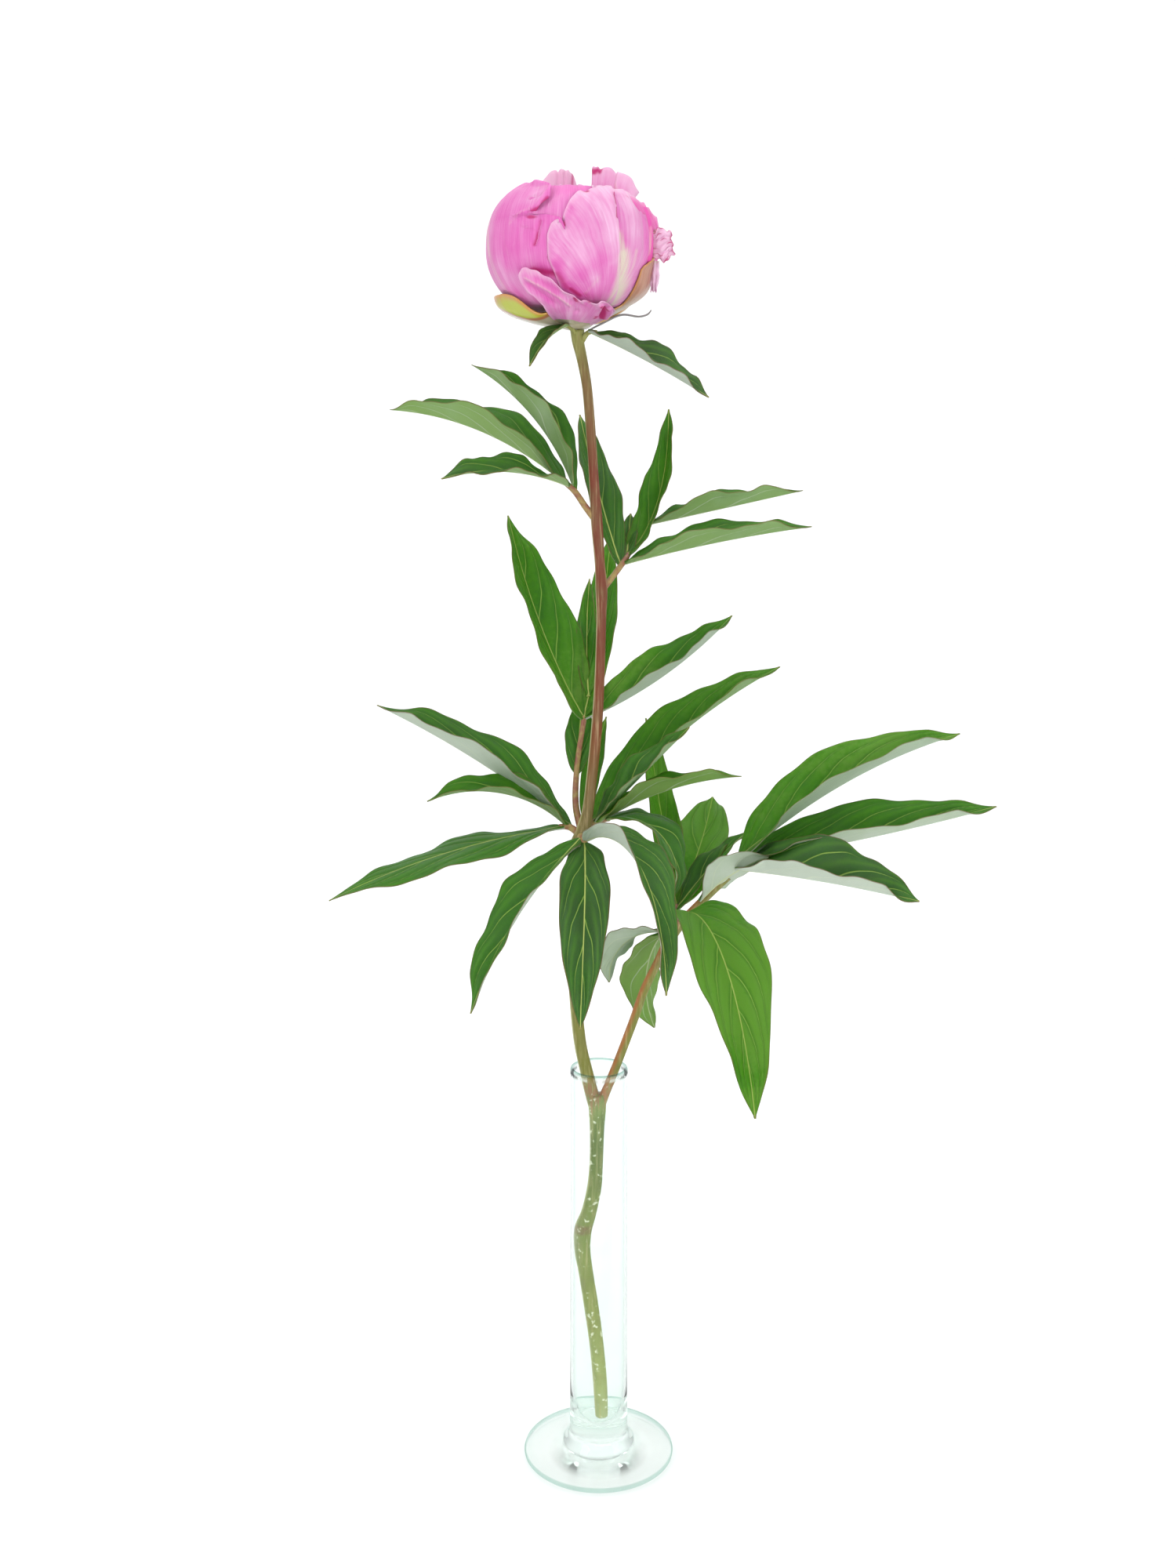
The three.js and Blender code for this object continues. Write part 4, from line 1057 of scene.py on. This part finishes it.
# %% The guard petal
GUARD = dict(
    left=[(14, -200), (60, -212), (150, -215)],
    right=[(14, -100), (60, -93), (92, -92), (101, -95), (103.5, -104), (105.5, -117.5),
        (108.5, -112), (112, -108), (118, -103.5), (127, -103), (133, -106), (139, -118)],
    top=[(-1, 142), (-0.5, 149), (0.2, 150), (0.7, 147), (1, 139)],
    layer=0.984, slant=-0.004, pale=0.62, slope=-0.32, rows=110, columns=121, edge=0.5,
    light=[(-112, 126, -122, 118, 7, 0.25), (-150, 75, -140, 60, 8, 0.2),
        (-126, 74, -112, 76, 7, 0.12)],
    deep_and_shaded=[(-146, 116, -152, 80, 5, 0.2), (-124, 104, -116, 92, 6, 0.12),
        (-131, 94, -127, 68, 7, 0.16)],
    folds=[(-103, 130, -110, 113, 3, 1.6), (-119, 107, -112, 106, 2, -1.6),
        (-108, 135, -124, 140, 3, 1.2), (-120, 120, -112, 122, 2, -0.5),
        (-150, 128, -150, 40, 9, 0.6), (-108.5, 99, -113, 85, 1.6, -0.8),
        (-112, 99, -117, 85, 2.5, 0.5), (-118, 98, -132, 88, 2, -0.3),
        (-124, 97.5, -113, 93.7, 1.5, -0.3), (-114, 64, -101, 62, 4, -0.8),
        (-129, 105, -117, 109, 2.5, 0.6)],
    stains=[(-117.5, 106.8, -109.5, 108.8, 1.8, 1), (-109.5, 109, -105, 117, 1.3, 0.7),
        (-118.5, 102.8, -114, 102.5, 1.5, 1), (-125, 97.5, -113, 93.7, 1.1, 0.3),
        (-109.4, 100, -111, 92, 1.2, 0.5), (-111, 92, -113.8, 85, 1.5, 0.75),
        (-117, 65, -100, 61.5, 3.6, 0.75), (-104, 75, -100, 65, 1.6, 0.7),
        (-106, 128, -113, 121, 1, 0.4), (-113, 121, -121, 120, 1, 0.3)],
    creams_and_highlights=[(-134, 100, -127, 106, 1.6, 0.3), (-127, 106, -118, 110, 1.4, 0.3),
        (-140, 95, -136, 80, 2, 0.2), (-172, 112, -160, 84, 4, 0.5),
        (-160, 84, -154, 58, 5, 0.35), (-118, 132, -108, 131, 1.5, 0.3)],
)

# %% The broad light petal and the magenta one behind
BROAD_LIGHT = dict(
    left=[(14, -90), (40, -96), (64, -101.5), (74, -104.5), (91, -104.3), (97, -101.7),
        (100, -97.6), (140, -97.6)],
    right=[(14, -34), (38, -36), (60, -49), (75.5, -53.6), (92, -55.6), (104, -56),
        (124.7, -52.5), (136, -51)],
    top=[(-1, 99), (-0.93, 100), (-0.87, 96.5), (-0.82, 103), (-0.7, 111), (-0.4, 124),
        (-0.1, 125), (0.05, 127), (0.5, 133.5), (1, 135.8)],
    layer=0.99, pale=0.84, slope=0.04, rows=110, columns=111, ruffle=0.12, lift=0.4,
    fan=(-46, 24),
    deep_and_shaded=[(-82, 60, -68, 72, 8, 0.4), (-90, 52, -78, 44, 6, 0.5), (-58, 68, -57, 50, 4, 0.35),
        (-98, 70, -94, 58, 4, 0.4), (-70, 54, -60, 44, 6, 0.35), (-66, 66, -60, 52, 5, 0.3)],
    folds=[(-92, 95, -95.5, 101, 1.8, -1), (-78, 126, -80, 122, 3, -0.5),
        (-53, 124, -54.5, 104, 2, -0.8), (-101, 90, -101, 70, 3, 0.6),
        (-80, 110, -82, 60, 6, 0.35), (-66, 120, -64, 60, 4, -0.3)],
    stains=[(-93, 96, -95.5, 102, 0.9, 1), (-81.4, 127, -76, 124.5, 1.5, 1),
        (-52, 126, -54, 115, 1.2, 1), (-54.5, 111, -56, 103, 1.2, 1),
        (-99, 62, -92, 50, 2.6, 0.5), (-89, 49, -80, 43, 2, 0.7), (-75, 45, -70, 41, 2, 0.4)],
    creams_and_highlights=[(-52, 78, -45, 40, 3.5, 0.7), (-75, 45, -66, 60, 2, 0.3)],
)
MAGENTA = dict(
    left=[(14, -40), (140, -40)], right=[(14, 12), (70, 10), (110, 8), (130, 0)], start=40,
    top=[(-1, 128), (-0.2, 128), (0.1, 127), (0.4, 124), (0.75, 120), (1, 112)],
    layer=0.985, slant=0.022, lift=2.6, pale=0.25, deep=0.6,
    folds=[(-14, 118, -18, 80, 2, 1.2), (-6, 118, -8, 96, 2.5, -0.4),
        (-32, 50, -32, 96, 11, -1.4)],
    stains=[(-22, 112, -25, 84, 1.2, 0.6), (-9, 104, -15, 80, 1.2, 0.6),
        (-16, 84, -20, 70, 3, 0.5)],
    creams_and_highlights=[(-17, 102, -20, 84, 1.1, 0.5)],
)
FACE = [MAUVE, CREAM_STREAKED, GUARD, BROAD_LIGHT, MAGENTA]
print("face of", len(FACE), "panels")

# %% Outer petals at the back and the curled ones at the top
BACK = [
    dict(azimuth=42, span=32, to=146, layer=0.965, slant=0.02, lobe=6, shift=0.5),
    dict(azimuth=92, span=34, to=146, layer=0.955, slant=0.03, shift=0.1, pale=0.35),
    dict(azimuth=142, span=32, to=145, layer=0.95, slant=0.03, shift=0.8, pale=0.6),
    dict(azimuth=66, span=26, to=120, layer=1.0, slant=0.01, shift=0.3, flare=2.5),
    dict(azimuth=118, span=28, to=112, layer=1.005, slant=-0.01, shift=0.6, flare=3),
]
for look in BACK:
    look.update(rows=44, columns=41)
# The first curled petal is set far paler, partly as painted light, since its face gets little light.
CURLED = [
    dict(azimuth=99.5, span=9, start=112, to=159, layer=0.95, flare=14.5, lobe=1.2, lobes=1,
         shift=0.15, pale=1.7, deep=0.14, ruffle=0.35, rows=44, columns=41,
         stains=[(90, 145, 87, 158, 0.9, 0.6)]),
    dict(azimuth=54, span=10.2, start=108, to=155, tilt=8.5, layer=0.95, flare=16.5, lobe=2.5,
         shift=0.62, pale=1.05, deep=0.06, ruffle=0.6, curl=-1, rows=54, columns=51,
         stains=[(66, 156, 58, 155, 0.9, 0.9), (46, 146, 44, 143, 0.5, 0.5)],
         creams_and_highlights=[(47, 148, 44, 143, 0.8, 0.5)]),
]
print(len(BACK), "petals at the back,", len(CURLED), "curled")

# %% [markdown]
# One guard petal has folded out at the front and lies across the bottom of the ball, its
# right end rolled and stained.

# %% The fallen flap
# As on the face, the flap's deepening strokes are partly painted shade, and its cream stroke is a
# painted highlight along the ridge of its first fold.
FLAP = dict(
    left=[(4, -121), (23, -121), (37, -118), (46, -122), (50, -125.5), (57, -126.5),
        (63, -125.5), (70, -122)],
    right=[(4, -26), (20, -22), (29, -16), (34, -31), (41, -48), (44, -53), (60, -64), (70, -66)],
    top=[(-1, 63), (-0.97, 68), (-0.8, 69.5), (-0.57, 66), (-0.38, 63), (-0.19, 59), (-0.12, 53),
        (0.02, 49), (0.09, 44), (0.12, 40), (0.17, 43), (0.28, 44.5), (0.43, 40.5), (0.6, 43),
        (0.85, 44), (0.95, 41), (1, 34)],
    start=9, layer=1.068, flare=2, pale=0.72, ruffle=0.35, columns=161,
    deep_and_shaded=[(-120, 56, -108, 42, 4, 0.5), (-112, 60, -100, 52, 3, 0.2)],
    folds=[(-120, 62, -89, 37, 1.8, 1), (-122, 56, -104, 38, 2.6, -0.8),
        (-86, 46, -82, 30, 2.4, -1.2), (-59, 39, -50, 27, 2, 1.2),
        (-52, 37, -44, 26, 1.8, -1.6), (-44, 37, -32, 27, 2.6, 1.6)],
    stains=[(-59, 39, -50, 36, 1.1, 1), (-50, 36, -45, 35, 0.8, 0.8),
        (-51, 35, -38, 26, 1.9, 1), (-50, 27, -47, 24, 1.6, 1),
        (-85, 43, -83, 40, 1.4, 1), (-75, 45, -72, 42, 1.2, 0.6),
        (-122, 46, -116, 38, 1, 0.35)],
    creams_and_highlights=[(-120, 62, -89, 37, 1, 0.45)],
)
print("flap with", len(FLAP["folds"]), "folds")

# %% [markdown]
# On the right side a small petal has shrivelled and stands out from the ball, pleated like
# a paper fan, and a torn pale strip hangs below it.

# %% The shrivelled petal
SCRAP_HALF_THICKNESS = 0.16


def scrap(base, tip, breadth, creased, cream, pleats, bulge=1.0):
    """A pleated scrap between two points, whose face looks at the front."""
    u, v = grid(48, 45)
    base, tip = np.array(base, float), np.array(tip, float)
    ahead = tip - base
    side = np.cross(ahead, (0.0, 1.0, 0.0))
    side /= np.linalg.norm(side)
    outward = np.cross(side, ahead) / np.linalg.norm(ahead)
    phase = dice.uniform(0, 6.28)
    wide = breadth * (0.35 + 0.65 * np.sin(np.pi * np.clip(0.12 + 0.78 * v, 0, 1)) ** bulge)
    ragged = 1 + 0.10 * np.sin(11 * v + phase) + 0.06 * np.sin(23 * v + 2 * phase)
    pleated = np.sin(pleats * np.pi * (u + 0.12 * np.sin(5 * v)))
    crumple = 0.35 * np.sin(9 * v + 4 * u + phase) + 0.2 * np.sin(19 * v - 7 * u)
    cup = -1.2 * (1 - u**2) * np.sin(np.pi * v)
    middle = base + ahead * (v * (1 + 0.04 * np.sin(7 * u + phase)))[..., None]
    middle = middle + side * (u * wide * ragged)[..., None]
    middle = middle + outward * (pleated * 0.5 * (0.3 + v) + crumple * v + cup)[..., None]
    half = normals(middle) * SCRAP_HALF_THICKNESS
    crease = np.maximum(0, -pleated) ** 6 * creased
    crease = crease * (0.5 + 0.5 * np.sin(6 * v + 5 * u + phase))
    rim = np.maximum(v, np.abs(u))
    stain = np.maximum(crease, 0.9 * rim**12 * creased)
    measures = dict(across=u, along=v, seed=phase, pale=1.5, rim=rim, stain=stain, cream=cream)
    return sheet(middle + half, middle - half, measures)


SCRAPS = [
    scrap((21.6, -7, 546.4), (29.8, -9, 547.8), 6.5, 0.8, 0.1, 5, 0.7),
    scrap((21.8, -4, 549.5), (24.8, -5, 553.4), 2.2, 0.5, 0.8, 3),
    scrap((23.2, -6, 541.0), (22.3, -6, 528.8), 1.7, 0.3, 0.1, 2, 0.6),
]
print(len(SCRAPS), "scraps pleated")

# %% [markdown]
# The petal finish mixes the streaks, the stains, the cream and the painted highlights and
# shade of the strokes, and lets light sink in a little, which is what makes petals look soft.

# %% Petal finish
LIGHT_SINKS = 0.0015
PINKS = {
    0.0: "c9429e", 0.25: "d55dad", 0.45: "dc7bbb", 0.65: "e29bc9", 0.85: "ecb9dc", 1.0: "f3d0e8",
}
petal_skin = Finish("peony_petal")
across, along, seed, rim = petal_skin.measures("across", "along", "seed", "rim")
pale, deep, stain, cream = petal_skin.measures("pale", "deep", "stain", "cream")
sway = (petal_skin.noise(55, 2) - 0.5) * 1.6
fan = petal_skin.point(across * 34 + sway, along * 3.5, seed)
streaks = petal_skin.noise(1.0, 6, fan, 0.62)
wide_fan = petal_skin.point(across * 3.5, along * 2.0, seed + 7)
washes = petal_skin.noise(1.0, 3, wide_fan)
mottle = petal_skin.noise(150, 4)
# How pale the pink is painted comes from each petal's own pallor, its streaks and washes, and the
# painted highlights and painted shade of its strokes.
streaked_pallor_and_light = pale * 0.7 + (streaks - 0.5) * 0.7 + (washes - 0.5) * 0.75 + (mottle - 0.5) * 0.3
pink = petal_skin.layers(
    petal_skin.ramp(streaked_pallor_and_light + 0.02, PINKS),
    (deep, "dd3c9c"),
    ((cream * (streaks.share(0.25, 0.7) * 0.6 + 0.5)).share(0.05, 0.9), "dcd2be"),
    (along.share(0.0, 0.14, 0.5, 0), "e6e0c4"),
    (rim.share(0.9, 1.0) * 0.35, "ecd0e0"),
    ((stain * (mottle * 0.7 + 0.75)).share(0.12, 0.85), "b8146c"),
)
relief = petal_skin.bump(streaks + mottle * 0.4, 0.0004, 0.6)
soft = {
    "Subsurface Weight": 0.15,
    "Subsurface Radius": (1.0, 0.6, 0.8),
    "Subsurface Scale": LIGHT_SINKS,
    "Sheen Weight": 0.15,
}
front = petal_skin.principled(pink, streaks.share(0.2, 0.8, 0.42, 0.6), relief, soft)
through = petal_skin.node("BsdfTranslucent", {}, {"Color": "f29ad0"})
petal_finish = petal_skin.surface(
    petal_skin.node("MixShader", {}, {0: pale * 0.15 + 0.05, 1: front, 2: through})
)

# %% Put the bloom together
CORE_LAYER, CORE_PALE = 0.74, 0.2


def core():
    """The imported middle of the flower, hidden under the petals."""
    u, v = grid(20, 28)
    look = {**PLAIN, "pale": CORE_PALE}
    return petal_sheet(4 + 172 * v, 180 * u, np.full_like(u, CORE_LAYER), u, v, look, 1.0)


inner = [core()] + [petal(look) for look in closed]
outer = [petal(look) for look in BACK + CURLED] + SCRAPS
face = [panel(look) for look in FACE]
outer.append(panel(FLAP))
for layer, shapes in {"inner": inner, "face": face, "outer": outer}.items():
    piece(f"bloom_{layer}_petals", {petal_finish: shapes}, "bloom")

# %% [markdown]
# ## The calyx
#
# Under the ball sit the receptacle, a green knob, and the sepals that grow from it. The
# left one is a fleshy boat with a lime inside and an orange rim, the right one is long and
# brownish, and the rest clasp the back.

# %% Sepal shapes
LEFT_BOAT = dict(
    left=[(4, -205), (60, -205)], right=[(4, -120), (60, -120)], start=6, lime=1,
    top=[(-1, 50), (-0.8, 55), (-0.27, 54.5), (0.13, 52), (0.34, 49), (0.5, 43.5), (0.65, 36.5),
        (0.81, 31), (1, 28)],
    rim=[(-1, 48), (-0.7, 48), (-0.36, 46), (-0.06, 40), (0.15, 34), (0.39, 30), (1, 26)],
    layer=1.04, rim_layer=1.145, below=24,
)
LONG_RIGHT = dict(
    left=[(8, -32), (39, -15), (44, -18), (51, -23), (61, -27), (70, -29), (81, -22)],
    right=[(8, 12), (50, 12), (80, 2)], start=8, brown=1,
    top=[(-1, 74), (-0.5, 81), (0, 84), (1, 74)], rim=[(-1, 58), (1, 58)],
    layer=1.0, rim_layer=1.06,
)
PALE_BOTTOM = dict(
    left=[(4, -130), (34, -118)], right=[(4, -36), (34, -58)], start=6,
    top=[(-1, 24), (-0.4, 28), (0.3, 28), (1, 22)], rim=[(-1, 18), (1, 18)],
    layer=1.04, rim_layer=1.045,
)
RIGHT_BACK = dict(
    left=[(8, 26), (74, 26)], right=[(8, 90), (74, 92)], start=8, lime=0.3,
    top=[(-1, 56), (-0.3, 72), (0.4, 70), (1, 56)], rim=[(-1, 50), (1, 50)],
    layer=1.04, rim_layer=1.09,
)
LEFT_BACK = dict(
    left=[(8, 96), (80, 96)], right=[(8, 146), (80, 144)], start=8, lime=0.4, brown=0.3,
    top=[(-1, 62), (-0.3, 76), (0.4, 74), (1, 60)], rim=[(-1, 50), (1, 50)],
    layer=1.03, rim_layer=1.07,
)
SEPALS = [LEFT_BOAT, LONG_RIGHT, PALE_BOTTOM, RIGHT_BACK, LEFT_BACK]
print(len(SEPALS), "sepals")

# %% Grow a sepal and the knob
USUAL_SEPAL = dict(below=13, above=11, lime=0, brown=0)
SEPAL_ROOT = 0.93
KNOB_PLACE = np.array([-10.6, 0, 514.1])
KNOB_DEPTH, KNOB_CLEARANCE, KNOB_SIDES = 0.84, 0.3, 40


def sepal(look):
    look = {**USUAL_SEPAL, **look}
    u, v = grid(48, 49)
    theta = look["start"] + (soft_edge(u, look["top"]) - look["start"]) * v
    azimuth = between_edges(look, theta, u)
    from_rim = theta - soft_edge(u, look["rim"])
    spread = np.where(from_rim < 0, look["below"], look["above"])
    belly = np.exp(-((from_rim / spread) ** 2)) * (1 - np.abs(u) ** 5)
    layer = look["layer"] + (look["rim_layer"] - look["layer"]) * belly
    layer = SEPAL_ROOT + (layer - SEPAL_ROOT) * ease(v, 0, 0.25)
    middle = on_ball(theta, azimuth, layer)
    outward = middle - BLOOM_CENTRE
    outward /= np.linalg.norm(outward, axis=-1)[..., None]
    half = outward * (0.65 - 0.35 * np.maximum(v, np.abs(u)) ** 8)[..., None]
    measures = dict(across=u, along=v, fold=from_rim / 20, lime=look["lime"], brown=look["brown"])
    return sheet(middle + half, middle - half, measures)


def receptacle():
    """The knob, which ends just under the bottom of the ball."""
    top = BLOOM_CENTRE[2] - HEIGHT_BELOW * KNOB_DEPTH - KNOB_PLACE[2] - KNOB_CLEARANCE
    profile = [(0, 0), (3.2, 0), (5.4, 0.6), (7.2, 1.6), (8.4, 3.0), (7.6, 5), (5.5, top), (0, top)]
    points, faces, _ = lathe(finer(profile, 0.5), KNOB_SIDES)
    lime, fold = np.full(len(points), 0.2), np.full(len(points), -1.0)
    return points + KNOB_PLACE, faces, {"lime": lime, "fold": fold}


# %% Sepal finish
sepal_skin = Finish("sepal_skin")
across, along, fold = sepal_skin.measures("across", "along", "fold")
lime, brown, inner_face = sepal_skin.measures("lime", "brown", "under")
fibres = sepal_skin.noise(1.0, 4, sepal_skin.point(across * 9, along * 2, lime))
patch = sepal_skin.noise(90, 2).share(0.2, 0.6)
tip = along.share(0.86, 0.98) + (-1 * across).share(-0.1, 0.35) * 0.5
crease = (fold - 0.01).size().share(0.03, 0.1, 1, 0)
edge = along.math("MAXIMUM", across.size())
skin = sepal_skin.layers(
    sepal_skin.mix(fibres, "9c9a7a", "b3a294"),
    (fold.share(0.0, 0.12) * lime, "a3ab30"),
    (tip * lime * patch, "b97c38"),
    (crease * lime * 0.9, "9c5c38"),
    (brown * along.share(0.2, 0.75), sepal_skin.mix(fibres, "8a5a48", "c39480")),
    (edge.share(0.95, 1.0) * 0.7, "c98a4a"),
    (inner_face * 0.3, "b7c84a"),
)
relief = sepal_skin.bump(fibres, 0.0004, 0.5)
fleshy = {
    "Coat Weight": lime * 0.6,
    "Subsurface Weight": 0.15,
    "Subsurface Radius": (0.6, 1.0, 0.3),
    "Subsurface Scale": LIGHT_SINKS,
}
sepal_finish = sepal_skin.surface(sepal_skin.principled(skin, 0.3, relief, fleshy))
grown = [receptacle()] + [sepal(look) for look in SEPALS]
piece("calyx_sepals", {sepal_finish: grown}, "calyx")
